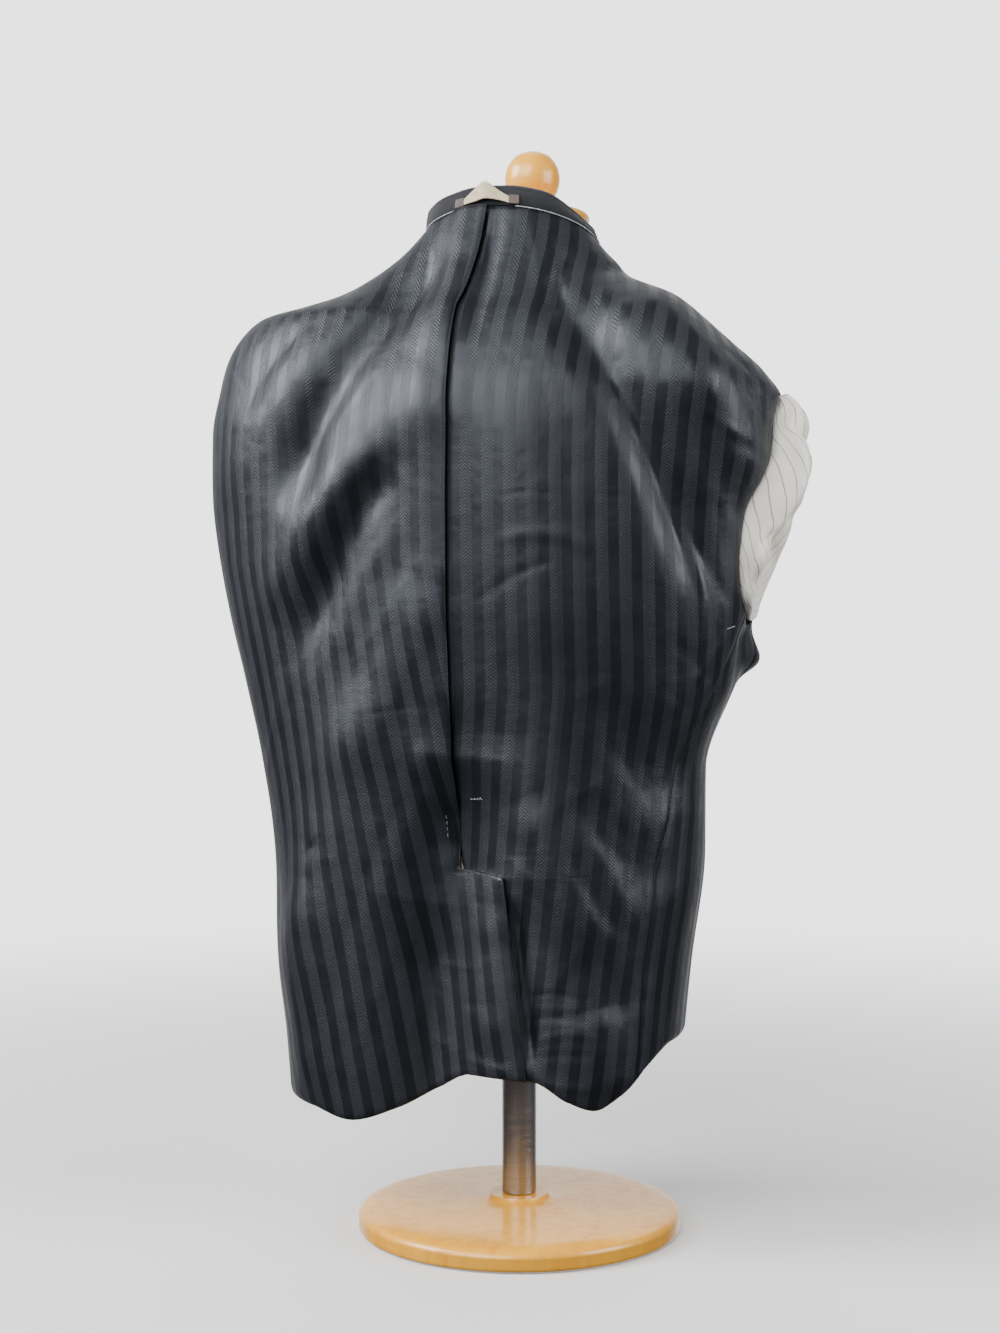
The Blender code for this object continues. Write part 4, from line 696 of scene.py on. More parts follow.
# Hanger loop: along it, angle, height of its lower edge and of its upper edge over the neck seam
LOOP = (
    ("left foot", 0.00, -21.0, 0.0036, 0.0090), ("left rise", 0.18, -17.0, 0.0042, 0.0135),
    ("left shoulder", 0.36, -12.0, 0.0048, 0.0195), ("top", 0.55, -6.5, 0.0062, 0.0225),
    ("right shoulder", 0.72, 0.0, 0.0055, 0.0165), ("right fall", 0.86, 5.0, 0.0045, 0.0120),
    ("right foot", 1.00, 9.0, 0.0030, 0.0090),
)
# Its sewn ends: start and stop angle
LOOP_ENDS = {"left": (-27.5, -21.27), "right": (9.27, 15.5)}
LOOP_END_HEIGHTS = (0.0024, 0.0105)


def ring_about(rim, middle, out, share, high):
    """The hole's rim drawn in to a share of its size and moved out."""
    return middle + (rim - middle) * share + np.outer(high, out)


def tucked(angle, height, deep):
    """A point inside the cloth: straight in under its outer face, then towards the body's middle."""
    face = skin(angle, height, 0.0)
    plain = ring(angle, height)
    inward = unit(plain * (1.0, 2.2, 0.0) - (BODY_SHIFT, 0.0, 0.0))
    return face - inward * deep[..., None]


def set_in(angle, height, toward, gap=SEAM_GAP):
    """An edge angle moved half a seam's gap towards the piece."""
    return angle + toward * (gap / 2.0) / along(angle, height)


# Sizes and colours that a user would change

def colour(name, value, about):
    return bpy.props.FloatVectorProperty(name=name, description=about, default=value, size=3, subtype="COLOR",
                                         min=0.0, max=1.0)


def length(name, value, about, low=0.0, high=10.0):
    return bpy.props.FloatProperty(name=name, description=about, default=value, min=low, max=high,
                                   precision=4, subtype="DISTANCE", unit="LENGTH")


def strength(name, value, about, high=20.0, **unit):
    return bpy.props.FloatProperty(name=name, description=about, default=value, min=0.0, max=high, **unit)


def power(name, value, about):
    return strength(name, value, about, 2000.0, unit="POWER")


def whole(name, value, about, low, high):
    return bpy.props.IntProperty(name=name, description=about, default=value, min=low, max=high)


class ClothSettings(bpy.types.PropertyGroup):
    row_step: length("Row step", 0.0026, "Distance between the rows of points of a cloth piece", 0.0015, 0.02)
    column_step: length("Column step", 0.0032, "Distance between the columns of a cloth piece", 0.0015, 0.02)
    seam_roll: length("Seam roll", 0.0009, "How far a piece's edge rolls in at a seam")
    roll_reach: length("Roll reach", 0.0024, "Distance from the edge over which it rolls in")
    stripe_pitch: length("Stripe pitch", 0.0200, "Distance from one lining stripe to the next", 0.004, 0.1)
    twill_pitch: length("Twill pitch", 0.0030, "Distance between lines of the herringbone", 0.001, 0.01)
    pin_pitch: length("Pinstripe pitch", 0.0082, "Distance between the sleeve lining's stripes", 0.002, 0.05)
    satin_dark: colour("Satin ground", (0.0060, 0.0066, 0.0090), "Smooth ground of the body lining")
    satin_light: colour("Satin stripe", (0.0165, 0.0178, 0.0228), "Herringbone stripes of the body lining")
    wool: colour("Wool", (0.0070, 0.0078, 0.0105), "Dark suiting of the collar, lapels and sleeves")
    pale: colour("Sleeve lining", (0.940, 0.905, 0.830), "Ground of the sleeve lining")
    pin: colour("Pinstripe", (0.190, 0.190, 0.210), "Pinstripes of the sleeve lining")


class TrimSettings(bpy.types.PropertyGroup):
    cord_radius: length("Neck piping", 0.0006, "Radius of the light line along the neck seam")
    thread_radius: length("Thread", 0.00035, "Radius of a hand stitch")
    button_sides: whole("Button sides", 48, "Faces round a button", 12, 96)
    cream: colour("Strap", (0.640, 0.550, 0.370), "Ground of the woven hanger loop")
    gold: colour("Strap thread", (0.420, 0.300, 0.110), "Darker threads of the woven hanger loop")
    brown: colour("Strap end", (0.100, 0.070, 0.064), "Sewn ends of the hanger loop")
    horn: colour("Horn", (0.022, 0.017, 0.014), "Buttons")
    thread: colour("Thread colour", (0.34, 0.35, 0.38), "Neck piping and hand stitches")


class FormSettings(bpy.types.PropertyGroup):
    sides: whole("Turned sides", 72, "Faces round a turned piece", 24, 128)
    linen: colour("Linen", (0.560, 0.480, 0.380), "Cover of the form")
    wood: colour("Wood", (0.900, 0.430, 0.035), "Light grain of the honey varnished wood")
    grain: colour("Grain", (0.790, 0.320, 0.020), "Dark grain of the honey varnished wood")
    steel: colour("Steel", (0.480, 0.480, 0.490), "Brushed post")


class StudioSettings(bpy.types.PropertyGroup):
    floor_size: length("Floor", 60.0, "Width of the floor", 4.0, 200.0)
    key_power: power("Key light", 34.0, "Power of the large light on the form's left")
    front_power: power("Front light", 64.0, "Power of the large light before the back")
    edge_power: power("Edge light", 28.0, "Power of the light on the form's right")
    wall_radius: length("Wall radius", 14.0, "Distance of the pale wall round the studio", 4.0, 100.0)
    wall_power: strength("Wall brightness", 2.9, "Strength of the wall's own light")
    backdrop: colour("Backdrop", (1.0, 1.0, 1.0), "Light behind the form")
    backdrop_power: strength("Backdrop power", 1.4, "Strength of the backdrop's light")
    shade: colour("Studio", (0.060, 0.062, 0.070), "Light from elsewhere, as a share of the backdrop's")


# Nodes

class Nodes:
    """A material's or world's nodes, added one after the other."""

    def __init__(self, tree):
        self.tree = tree

    def add(self, kind, **settings):
        node = self.tree.nodes.new(kind)
        for key, value in settings.items():
            setattr(node, key, value)
        return node

    def put(self, socket, value):
        if isinstance(value, bpy.types.NodeSocket):
            self.tree.links.new(value, socket)
        else:
            socket.default_value = value

    def math(self, operation, *values, clamp=False):
        node = self.add("ShaderNodeMath", operation=operation, use_clamp=clamp)
        for k, value in enumerate(values):
            self.put(node.inputs[k], value)
        return node.outputs[0]

    def soft(self, value, low, high, out_low=0.0, out_high=1.0):
        """Smooth step of a value between two limits."""
        node = self.add("ShaderNodeMapRange", interpolation_type="SMOOTHSTEP")
        for k, each in enumerate((value, low, high, out_low, out_high)):
            self.put(node.inputs[k], each)
        return node.outputs[0]

    def wave(self, value, size):
        """Sine of a distance, a wave for each size."""
        return self.math("SINE", self.math("MULTIPLY", value, 2.0 * math.pi / size))

    def split(self, vector):
        node = self.add("ShaderNodeSeparateXYZ")
        self.put(node.inputs[0], vector)
        return tuple(node.outputs)

    def level_distance(self, x, y):
        """Distance from the upright axis."""
        return self.math("SQRT", self.math("ADD", self.math("MULTIPLY", x, x), self.math("MULTIPLY", y, y)))

    def noise(self, scale, detail=2.0, rough=0.5, vector=None):
        """Noise on the piece's own place, or on a given vector."""
        node = self.add("ShaderNodeTexNoise")
        self.put(node.inputs["Vector"], vector or self.place())
        node.inputs["Scale"].default_value = scale
        node.inputs["Detail"].default_value = detail
        node.inputs["Roughness"].default_value = rough
        return node.outputs["Fac"]

    def mix(self, share, first, second):
        node = self.add("ShaderNodeMix", data_type="RGBA")
        self.put(node.inputs[0], share)
        self.put(node.inputs[6], (*first, 1.0) if isinstance(first, (tuple, list)) else first)
        self.put(node.inputs[7], (*second, 1.0) if isinstance(second, (tuple, list)) else second)
        return node.outputs[2]

    def bump(self, height, distance, strength=1.0, under=None):
        node = self.add("ShaderNodeBump")
        node.inputs["Strength"].default_value = strength
        node.inputs["Distance"].default_value = distance
        self.put(node.inputs["Height"], height)
        if under is not None:
            self.put(node.inputs["Normal"], under)
        return node.outputs["Normal"]

    def cloth_map(self):
        """Across and down a cloth piece, in metres."""
        return self.split(self.add("ShaderNodeUVMap", uv_map="cloth").outputs[0])[:2]

    def place(self):
        return self.add("ShaderNodeTexCoord").outputs["Object"]

    def stretched(self, *scale):
        """The piece's own place, scaled on each axis."""
        turn = self.add("ShaderNodeMapping")
        turn.inputs["Scale"].default_value = scale
        self.put(turn.inputs["Vector"], self.place())
        return turn.outputs[0]


def new_finish(name, rough=0.5, metal=0.0, **sockets):
    """A material with its plain sockets set, its nodes and its shader."""
    finish = bpy.data.materials.new(name)
    finish.use_nodes = True
    shader = finish.node_tree.nodes["Principled BSDF"]
    shader.inputs["Roughness"].default_value = rough
    shader.inputs["Metallic"].default_value = metal
    for key, value in sockets.items():
        shader.inputs[key.replace("_", " ")].default_value = value
    return finish, Nodes(finish.node_tree), shader.inputs


def tint(value, share=1.0):
    """A colour made darker or lighter by a share."""
    return tuple(min(1.0, share * float(part)) for part in value)


def striped_satin(name):
    """Blue-charcoal satin with tone-on-tone herringbone stripes."""
    cloth = bpy.context.scene.blazer_cloth
    finish, nodes, shader = new_finish(name, Specular_IOR_Level=0.42, Specular_Tint=(0.83, 0.90, 1.0, 1.0))
    across, down = nodes.cloth_map()
    pitch = cloth.stripe_pitch
    # The stripe attribute dims the light stripes where fades are painted; at the left blade it stands for the
    # key light's sheen washing them out
    shown = nodes.add("ShaderNodeAttribute", attribute_name="stripe").outputs["Fac"]
    stripe = nodes.soft(nodes.math("PINGPONG", across, pitch / 2.0), pitch * 0.210, pitch * 0.255)
    chevron = nodes.math("ADD", down, nodes.math("PINGPONG", across, pitch / 4.0))
    twill = nodes.math("MULTIPLY_ADD", nodes.wave(chevron, cloth.twill_pitch), 0.5, 0.5)
    twill = nodes.math("MULTIPLY", twill, stripe)
    slub = nodes.noise(38.0, 3.0, 0.6)
    light = nodes.math("MULTIPLY", stripe, shown)
    light = nodes.math("MULTIPLY", light, nodes.math("MULTIPLY_ADD", twill, 0.45, 0.72), clamp=True)
    dark = nodes.mix(nodes.soft(slub, 0.30, 0.70), tint(cloth.satin_dark), tint(cloth.satin_dark, 1.35))
    nodes.put(shader["Base Color"], nodes.mix(light, dark, tint(cloth.satin_light)))
    ground = nodes.soft(slub, 0.2, 0.8, 0.38, 0.45)
    nodes.put(shader["Roughness"], nodes.math("MULTIPLY_ADD", light, 0.13, ground))
    crumple = nodes.bump(nodes.noise(17.0, 3.0, 0.55), 0.0050, 0.42)
    pucker = nodes.bump(nodes.noise(75.0, 3.0, 0.6), 0.0012, 0.30, crumple)
    ribs = nodes.bump(twill, 0.00022, 0.65, pucker)
    weft = nodes.wave(nodes.math("ADD", across, down), 0.0011)
    nodes.put(shader["Normal"], nodes.bump(weft, 0.00005, 0.25, ribs))
    return finish


def suiting_wool(name):
    """Dark wool twill, matt, with a heather of lighter fibres."""
    wool = bpy.context.scene.blazer_cloth.wool
    finish, nodes, shader = new_finish(name, Specular_IOR_Level=0.30, Sheen_Weight=0.25, Sheen_Roughness=0.5)
    heather = nodes.noise(900.0, 2.0, 0.7)
    worn = nodes.noise(14.0, 3.0)
    shade = nodes.mix(nodes.soft(heather, 0.42, 0.78), tint(wool), tint(wool, 2.3))
    nodes.put(shader["Base Color"], nodes.mix(nodes.soft(worn, 0.35, 0.8, 0.0, 0.35), shade, tint(wool, 2.3)))
    nodes.put(shader["Roughness"], nodes.soft(worn, 0.2, 0.8, 0.80, 0.92))
    twill = nodes.wave(nodes.math("ADD", *nodes.cloth_map()), 0.0016)
    press = nodes.bump(nodes.noise(26.0, 3.0), 0.0022, 0.35)
    nodes.put(shader["Normal"], nodes.bump(twill, 0.00012, 0.5, nodes.bump(heather, 0.0003, 0.4, press)))
    return finish


def pinstriped_lining(name):
    """Off-white sleeve lining with thin grey pinstripes."""
    cloth = bpy.context.scene.blazer_cloth
    finish, nodes, shader = new_finish(name, Specular_IOR_Level=0.45, Sheen_Weight=0.15, Sheen_Roughness=0.4)
    across, down = nodes.cloth_map()
    drift = nodes.math("MULTIPLY_ADD", nodes.noise(22.0), 0.0050, across)
    pin = nodes.soft(nodes.math("PINGPONG", drift, cloth.pin_pitch / 2.0), 0.00020, 0.00050, 1.0, 0.0)
    thread = nodes.wave(down, 0.0014)
    pin = nodes.math("MULTIPLY", pin, nodes.math("MULTIPLY_ADD", thread, 0.12, 0.80))
    aged = nodes.soft(nodes.noise(11.0, 3.0), 0.3, 0.75, 0.0, 0.55)
    yellowed = tuple(part * share for part, share in zip(cloth.pale, (0.90, 0.86, 0.80)))
    ground = nodes.mix(aged, tint(cloth.pale), yellowed)
    nodes.put(shader["Base Color"], nodes.mix(pin, ground, tint(cloth.pin)))
    nodes.put(shader["Roughness"], nodes.soft(aged, 0.0, 0.55, 0.42, 0.55))
    crumple = nodes.bump(nodes.noise(42.0, 3.0, 0.6), 0.0030, 0.40)
    nodes.put(shader["Normal"], nodes.bump(thread, 0.00006, 0.3, crumple))
    return finish


def woven_strap(name, ground, thread):
    """Flat woven strap of two threads."""
    finish, nodes, shader = new_finish(name, 0.55, Specular_IOR_Level=0.45, Sheen_Weight=0.2)
    across, down = nodes.cloth_map()
    weave = nodes.math("MULTIPLY", nodes.wave(across, 0.0011), nodes.wave(down, 0.0013))
    mottle = nodes.soft(nodes.noise(210.0), 0.45, 0.75, 0.0, 0.4)
    share = nodes.math("MULTIPLY_ADD", nodes.soft(weave, 0.05, 0.6), 0.55, mottle, clamp=True)
    nodes.put(shader["Base Color"], nodes.mix(share, tint(ground), thread))
    nodes.put(shader["Normal"], nodes.bump(weave, 0.00020, 0.6))
    return finish


def cream_strap(name):
    trim = bpy.context.scene.blazer_trim
    return woven_strap(name, trim.cream, tint(trim.gold))


def brown_strap(name):
    trim = bpy.context.scene.blazer_trim
    return woven_strap(name, trim.brown, tint(trim.brown, 0.5))


def pale_thread(name):
    """Grey sewing thread of two twisted plies."""
    tone = bpy.context.scene.blazer_trim.thread
    finish, nodes, shader = new_finish(name, 0.60, Sheen_Weight=0.3)
    twist = nodes.noise(700.0, 1.0)
    nodes.put(shader["Base Color"], nodes.mix(nodes.soft(twist, 0.35, 0.65), tint(tone), tint(tone, 0.6)))
    nodes.put(shader["Normal"], nodes.bump(twist, 0.0002, 0.5))
    return finish


def horn(name):
    """Dark streaked horn, polished."""
    tone = bpy.context.scene.blazer_trim.horn
    finish, nodes, shader = new_finish(name, 0.30, Coat_Weight=0.35, Coat_Roughness=0.15)
    streak = nodes.noise(160.0, 4.0, 0.6)
    nodes.put(shader["Base Color"], nodes.mix(nodes.soft(streak, 0.42, 0.72), tint(tone), tint(tone, 3.2)))
    nodes.put(shader["Roughness"], nodes.soft(streak, 0.3, 0.7, 0.24, 0.40))
    return finish


def linen_cover(name):
    """Natural linen stretched over the form, sewn along its middle and sides."""
    linen = bpy.context.scene.blazer_form.linen
    finish, nodes, shader = new_finish(name, 0.88, Specular_IOR_Level=0.25, Sheen_Weight=0.2)
    x, y, z = nodes.split(nodes.place())
    weave = nodes.math("MULTIPLY", nodes.wave(nodes.math("ADD", x, y), 0.0016), nodes.wave(z, 0.0016))
    slub = nodes.noise(120.0, 4.0, 0.7)
    wide = nodes.math("ABSOLUTE", x)
    from_side = nodes.math("ABSOLUTE", nodes.math("SUBTRACT", wide, SIDE_SEAM))
    seam = nodes.math("MAXIMUM", *(nodes.soft(each, 0.0004, 0.0012, 1.0, 0.0) for each in (wide, from_side)))
    tone = nodes.mix(nodes.soft(slub, 0.35, 0.7), tint(linen), tint(linen, 0.78))
    nodes.put(shader["Base Color"], nodes.mix(nodes.math("MULTIPLY", seam, 0.65), tone, tint(linen, 0.45)))
    sewn = nodes.bump(nodes.math("SUBTRACT", 1.0, seam), 0.0012, 0.8)
    nodes.put(shader["Normal"], nodes.bump(weave, 0.00018, 0.6, nodes.bump(slub, 0.0004, 0.4, sewn)))
    return finish


def honey_wood(name):
    """Honey varnished wood with a soft grain under a glossy coat."""
    form = bpy.context.scene.blazer_form
    finish, nodes, shader = new_finish(name, 0.36, Coat_Weight=0.5, Coat_Roughness=0.12)
    grain = nodes.noise(1.6, 4.0, 0.62, nodes.stretched(60.0, 60.0, 9.0))
    broad = nodes.soft(nodes.noise(22.0), 0.35, 0.75, 0.0, 0.45)
    tone = nodes.mix(nodes.soft(grain, 0.38, 0.72), tint(form.wood), tint(form.grain))
    nodes.put(shader["Base Color"], nodes.mix(broad, tone, tint(form.wood, 1.12)))
    nodes.put(shader["Roughness"], nodes.soft(grain, 0.3, 0.8, 0.28, 0.42))
    nodes.put(shader["Normal"], nodes.bump(grain, 0.0003, 0.3))
    return finish


def brushed_steel(name):
    """Steel brushed round the post."""
    steel = bpy.context.scene.blazer_form.steel
    finish, nodes, shader = new_finish(name, 0.34, 1.0)
    brush = nodes.noise(1.0, 3.0, 0.7, nodes.stretched(30.0, 30.0, 900.0))
    nodes.put(shader["Base Color"], nodes.mix(nodes.soft(brush, 0.3, 0.7), tint(steel), tint(steel, 0.8)))
    nodes.put(shader["Roughness"], nodes.soft(brush, 0.3, 0.7, 0.28, 0.42))
    nodes.put(shader["Normal"], nodes.bump(brush, 0.0001, 0.4))
    return finish


FINISHES = {
    "lining satin": striped_satin,
    "dark wool": suiting_wool,
    "pale sleeve lining": pinstriped_lining,
    "woven loop": cream_strap,
    "brown woven end": brown_strap,
    "pale thread": pale_thread,
    "dark horn": horn,
    "linen cover": linen_cover,
    "honey wood": honey_wood,
    "brushed steel": brushed_steel,
}


def finish_of(name):
    return bpy.data.materials.get(name) or FINISHES[name](name)


# Cloth pieces

ARC_STEP, ARC_RISE = 1.5, 0.01      # degrees and metres between the places where arcs are measured


def arc_table():
    """Length of cloth round the body from the centre back, at close angles and heights."""
    angles, heights = np.arange(-180.0, 181.0, ARC_STEP), np.arange(0.08, 0.94, ARC_RISE)
    rings = ring(angles[None, :], heights[:, None])
    steps = np.linalg.norm(np.diff(rings, axis=1), axis=-1)
    total = np.concatenate([np.zeros((len(heights), 1)), np.cumsum(steps, axis=1)], axis=1)
    return angles, heights, total - total[:, len(angles) // 2][:, None]


ARC_ANGLES, ARC_HEIGHTS, ARC_LENGTHS = arc_table()


def across_cloth(angle, height):
    """Metres of cloth from the centre back, plus towards the form's right."""
    angle, height = np.broadcast_arrays(np.asarray(angle, float), np.asarray(height, float))
    a = np.clip((angle - ARC_ANGLES[0]) / ARC_STEP, 0, len(ARC_ANGLES) - 1.001)
    h = np.clip((height - ARC_HEIGHTS[0]) / ARC_RISE, 0, len(ARC_HEIGHTS) - 1.001)
    i, j = a.astype(int), h.astype(int)
    fa, fh = a - i, h - j
    low, high = (ARC_LENGTHS[row, i] * (1 - fa) + ARC_LENGTHS[row, i + 1] * fa for row in (j, j + 1))
    return low * (1 - fh) + high * fh


# Stripes run together towards the hem: metres across for a metre below a height
STRIPE_RUN = {"left": (0.17, 0.62), "right": (0.10, 0.50)}


def stripe_map(side, offset, angle, height):
    """Across and down for the stripes of the backs and sides."""
    run, below = STRIPE_RUN[side]
    gather = run * np.clip(below - height, 0.0, None)
    return sign_of(side) * across_cloth(angle, height) + gather + offset, height


def grid_normal(grid, around=False):
    """Outward normal at each point of a grid of points."""
    side = np.roll(grid, -1, axis=1) - np.roll(grid, 1, axis=1) if around else np.gradient(grid, axis=1)
    return unit(np.cross(side, np.gradient(grid, axis=0)))


def edge_distance(grid, axis, end):
    """Metres from a grid's first or last row or column, along the grid."""
    steps = np.linalg.norm(np.diff(grid, axis=axis), axis=-1)
    zero = np.zeros_like(np.take(steps, [0], axis=axis))
    total = np.concatenate([zero, np.cumsum(steps, axis=axis)], axis=axis)
    return np.take(total, [-1], axis=axis) - total if end else total


def make_piece(name, points, faces, finishes, face_finish=None, maps=None, shown=None):
    """A smooth-shaded mesh object, with its own cloth map and stripes where they are given."""
    mesh = bpy.data.meshes.new(name)
    mesh.from_pydata(np.asarray(points).tolist(), [], faces)
    for finish in finishes:
        mesh.materials.append(finish_of(finish))
    if face_finish is not None:
        mesh.polygons.foreach_set("material_index", np.asarray(face_finish, dtype=np.int32))
    if maps is not None:
        corner = np.empty(len(mesh.loops), dtype=np.int32)
        mesh.loops.foreach_get("vertex_index", corner)
        layer = mesh.uv_layers.new(name="cloth")
        layer.data.foreach_set("uv", np.asarray(maps, dtype=np.float32)[corner].ravel())
    if shown is not None:
        # The stripe attribute carries the painted stripe fades, one of them standing for the key light's
        # sheen
        stripe = mesh.attributes.new("stripe", "FLOAT", "POINT")
        stripe.data.foreach_set("value", np.asarray(shown, np.float32).ravel())
    mesh.polygons.foreach_set("use_smooth", np.ones(len(mesh.polygons), dtype=bool))
    mesh.update()
    piece = bpy.data.objects.new(name, mesh)
    bpy.context.scene.collection.objects.link(piece)
    return piece


def seat(piece, slot, *nodes):
    """The piece rides on the frame's one body and stands for CAD nodes, which it hides; the slot is not used.
    """
    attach(piece, "root")
    if nodes:
        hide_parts(*nodes)
    return piece


def quads(rows, cols, start=0, flip=False, around=False):
    """Faces between neighbouring points of a grid."""
    j, i = np.meshgrid(np.arange(rows - 1), np.arange(cols if around else cols - 1), indexing="ij")
    a, b = start + j * cols + i, start + j * cols + (i + 1) % cols
    faces = np.stack([a, b, b + cols, a + cols], axis=-1).reshape(-1, 4)
    return faces[:, ::-1] if flip else faces


def rim_quads(loop, count):
    """Faces from the outer wall's edge to the inner wall's."""
    after = np.roll(loop, -1)
    return np.stack([after, loop, loop + count, after + count], axis=-1)


# Edges of a sheet: axis of the grid that leaves the edge, whether it is that axis's far end
EDGES = {
    "first column": (1, False), "last column": (1, True), "first row": (0, False), "last row": (0, True),
}
SIDES_AND_HEM = ("first column", "last column", "first row")


def cloth_sheet(name, outer, wall, finishes, maps, shown=None, around=False, rolled=()):
    """A sheet with an outer and an inner face; rolled names the edges that turn in at a seam."""
    cloth = bpy.context.scene.blazer_cloth
    normal = grid_normal(outer, around)
    turn = np.zeros(outer.shape[:2])
    for edge in rolled:
        turn = np.maximum(turn, np.exp(-(edge_distance(outer, *EDGES[edge]) / cloth.roll_reach) ** 2))
    outer = outer - normal * (turn * cloth.seam_roll)[..., None]
    inner = outer - normal * wall
    rows, cols = outer.shape[:2]
    count = rows * cols
    front, back = quads(rows, cols, 0, False, around), quads(rows, cols, count, True, around)
    row, down = np.arange(cols), np.arange(1, rows) * cols
    if around:
        ends = [row, (rows - 1) * cols + row[::-1]]
    else:
        ends = [np.concatenate([row, down + cols - 1, down[-1] + row[-2::-1], down[-2::-1]])]
    rim = np.concatenate([rim_quads(loop, count) for loop in ends])
    faces = np.concatenate([front, back, rim])
    inside = np.zeros(len(faces))
    inside[len(front):len(front) + len(back)] = len(finishes) - 1
    flat = np.stack(np.broadcast_arrays(*maps), axis=-1).reshape(-1, 2)
    seen = None if shown is None else np.tile(shown.ravel(), 2)
    points = np.concatenate([outer.reshape(-1, 3), inner.reshape(-1, 3)])
    return make_piece(name, points, faces.tolist(), finishes, inside, np.concatenate([flat, flat]), seen)


VENT_CORNER = (0.336, 0.344)        # heights between which the vent's upper end turns


def fine_heights():
    """Heights of the rows, closer below the hem's blend and at the vent's upper end."""
    step = bpy.context.scene.blazer_cloth.row_step
    found = [ROW_HEIGHTS[0]]
    for low, high in zip(ROW_HEIGHTS[:-1], ROW_HEIGHTS[1:]):
        near_hem, near_vent = high <= HEM_BLEND + 0.02, VENT_CORNER[0] < low < VENT_CORNER[1]
        size = step * (0.66 if near_hem else 0.45 if near_vent else 1.0)
        found += list(np.linspace(low, high, max(1, math.ceil((high - low) / size)) + 1)[1:])
    return np.array(found)


EDGE_COLUMNS = np.array([0.0006, 0.0013, 0.0021, 0.0042])       # columns of points beside a rolled edge


def fine_shares(width, close_first=True, close_last=True):
    """Shares of a row from 0 to 1: even columns, with closer ones beside the rolled edges."""
    even = np.linspace(0.0, 1.0, max(4, math.ceil(width / bpy.context.scene.blazer_cloth.column_step)) + 1)
    near = EDGE_COLUMNS / width
    free = near[-1] * 1.2
    first = np.concatenate([[0.0], near]) if close_first else even[even <= free]
    last = np.concatenate([1.0 - near[::-1], [1.0]]) if close_last else even[even >= 1.0 - free]
    return np.concatenate([first, even[(even > free) & (even < 1.0 - free)], last])


# Where the light stripes are painted dimmer towards the ground on the back: x and height, half-width and
# half-height, how much. The left blade one is painted light: it stands for the key light's sheen washing the
# stripes out
FADED = (
    ("left blade", 0.125, 0.745, 0.105, 0.115, 0.85), ("right seat", -0.110, 0.330, 0.050, 0.075, 0.55),
    ("right waist", -0.070, 0.500, 0.100, 0.150, 0.60),
)


def stripes_shown_with_painted_fades(outer):
    """How clearly the stripes stand out at points of the backs and sides, painted dimmer on the back where
    FADED lies; at the left blade this is painted sheen washing them out.
    """
    x, y, z = outer[..., 0], outer[..., 1], outer[..., 2]
    lost = sum(share * np.exp(-((x - at) / wide) ** 2 - ((z - height) / tall) ** 2)
               for at, height, wide, tall, share in columns(FADED))
    return np.clip(1.0 - lost * ease(0.5 + y / 0.08), 0.05, 1.0)


def lining_sheet(name, surface, u, v, side, offset, rolled=SIDES_AND_HEM):
    """A back or side of the lining, satin outside and wool inside."""
    outer = surface(u, v)
    return cloth_sheet(name, outer, WALL, ("lining satin", "dark wool"), stripe_map(side, offset, u, v),
                       stripes_shown_with_painted_fades(outer), rolled=rolled)


def between(first, last, shares):
    """Rows of values from the first to the last column."""
    return first[:, None] + (last - first)[:, None] * shares


def lining_back_left():
    """The left back, from its side seam to the pleat's fold and the vent's slit."""
    heights = fine_heights()
    outer = -set_in(side_edge("left", heights, True), heights, -1.0, VISUAL_GAP)
    base = centre_line(heights, 2) - 0.012 / along(0.0, heights)
    inner = set_in(centre_line(heights, 1), heights, -1.0, VISUAL_GAP)
    u = np.concatenate([between(outer, base, fine_shares(0.260, True, False)),
                        between(base, inner, fine_shares(0.024, False, True)[1:])], axis=1)
    return lining_sheet("lining_back_left", back_left_surface, u, hem_row(u, heights[:, None]), "left", 0.0)


def tucked_right_surface(angle, height):
    """The right back, lower where it runs under the left back along the centre line."""
    under = (centre_line(height, 2) - angle) * along(0.0, height)
    dip = UNDER_DIP * ease((under + 0.0015) / 0.0030)
    return back_right_surface(angle, height) - ring_normal(angle, height) * dip[..., None]


def lining_back_right():
    """The right back, from under the left one to its side seam."""
    heights = fine_heights()
    middle = centre_line(heights, 2)
    under = middle - PLEAT_UNDERLAP / along(0.0, heights)
    edge = set_in(side_edge("right", heights, True), heights, -1.0, VISUAL_GAP)
    u = np.concatenate([between(under, middle, np.linspace(0.0, 1.0, 16)),
                        between(middle, edge, fine_shares(0.220, False)[1:])], axis=1)
    v = hem_row(u, heights[:, None])
    return lining_sheet("lining_back_right", tucked_right_surface, u, v, "right", 0.004,
                        ("last column", "first row"))


def lining_side(side):
    """The side body under an armhole, scooped where the armhole's foot is."""
    foot, corner = UNDERARM_HEIGHT[side], side_corner(side, True)[0]
    fine = fine_heights()
    heights = np.append(fine[fine < corner - 0.003], corner)
    back = set_in(side_edge(side, heights, True), heights, 1.0, VISUAL_GAP)
    front = set_in(side_edge(side, heights, False), heights, -1.0, VISUAL_GAP)
    shares = fine_shares(0.100)
    u = sign_of(side) * between(back, front, shares)
    scoop = (corner - foot) * (1.0 - np.abs(2.0 * shares - 1.0) ** 2)
    below = ease((heights - corner + 0.050) / 0.050)
    v = hem_row(u, heights[:, None]) - scoop[None, :] * below[:, None] - VISUAL_GAP / 2.0
    if side == "left":
        u, v = u[:, ::-1], v[:, ::-1]
    return lining_sheet(f"lining_side_{side}", skin, u, v, side, 0.007)


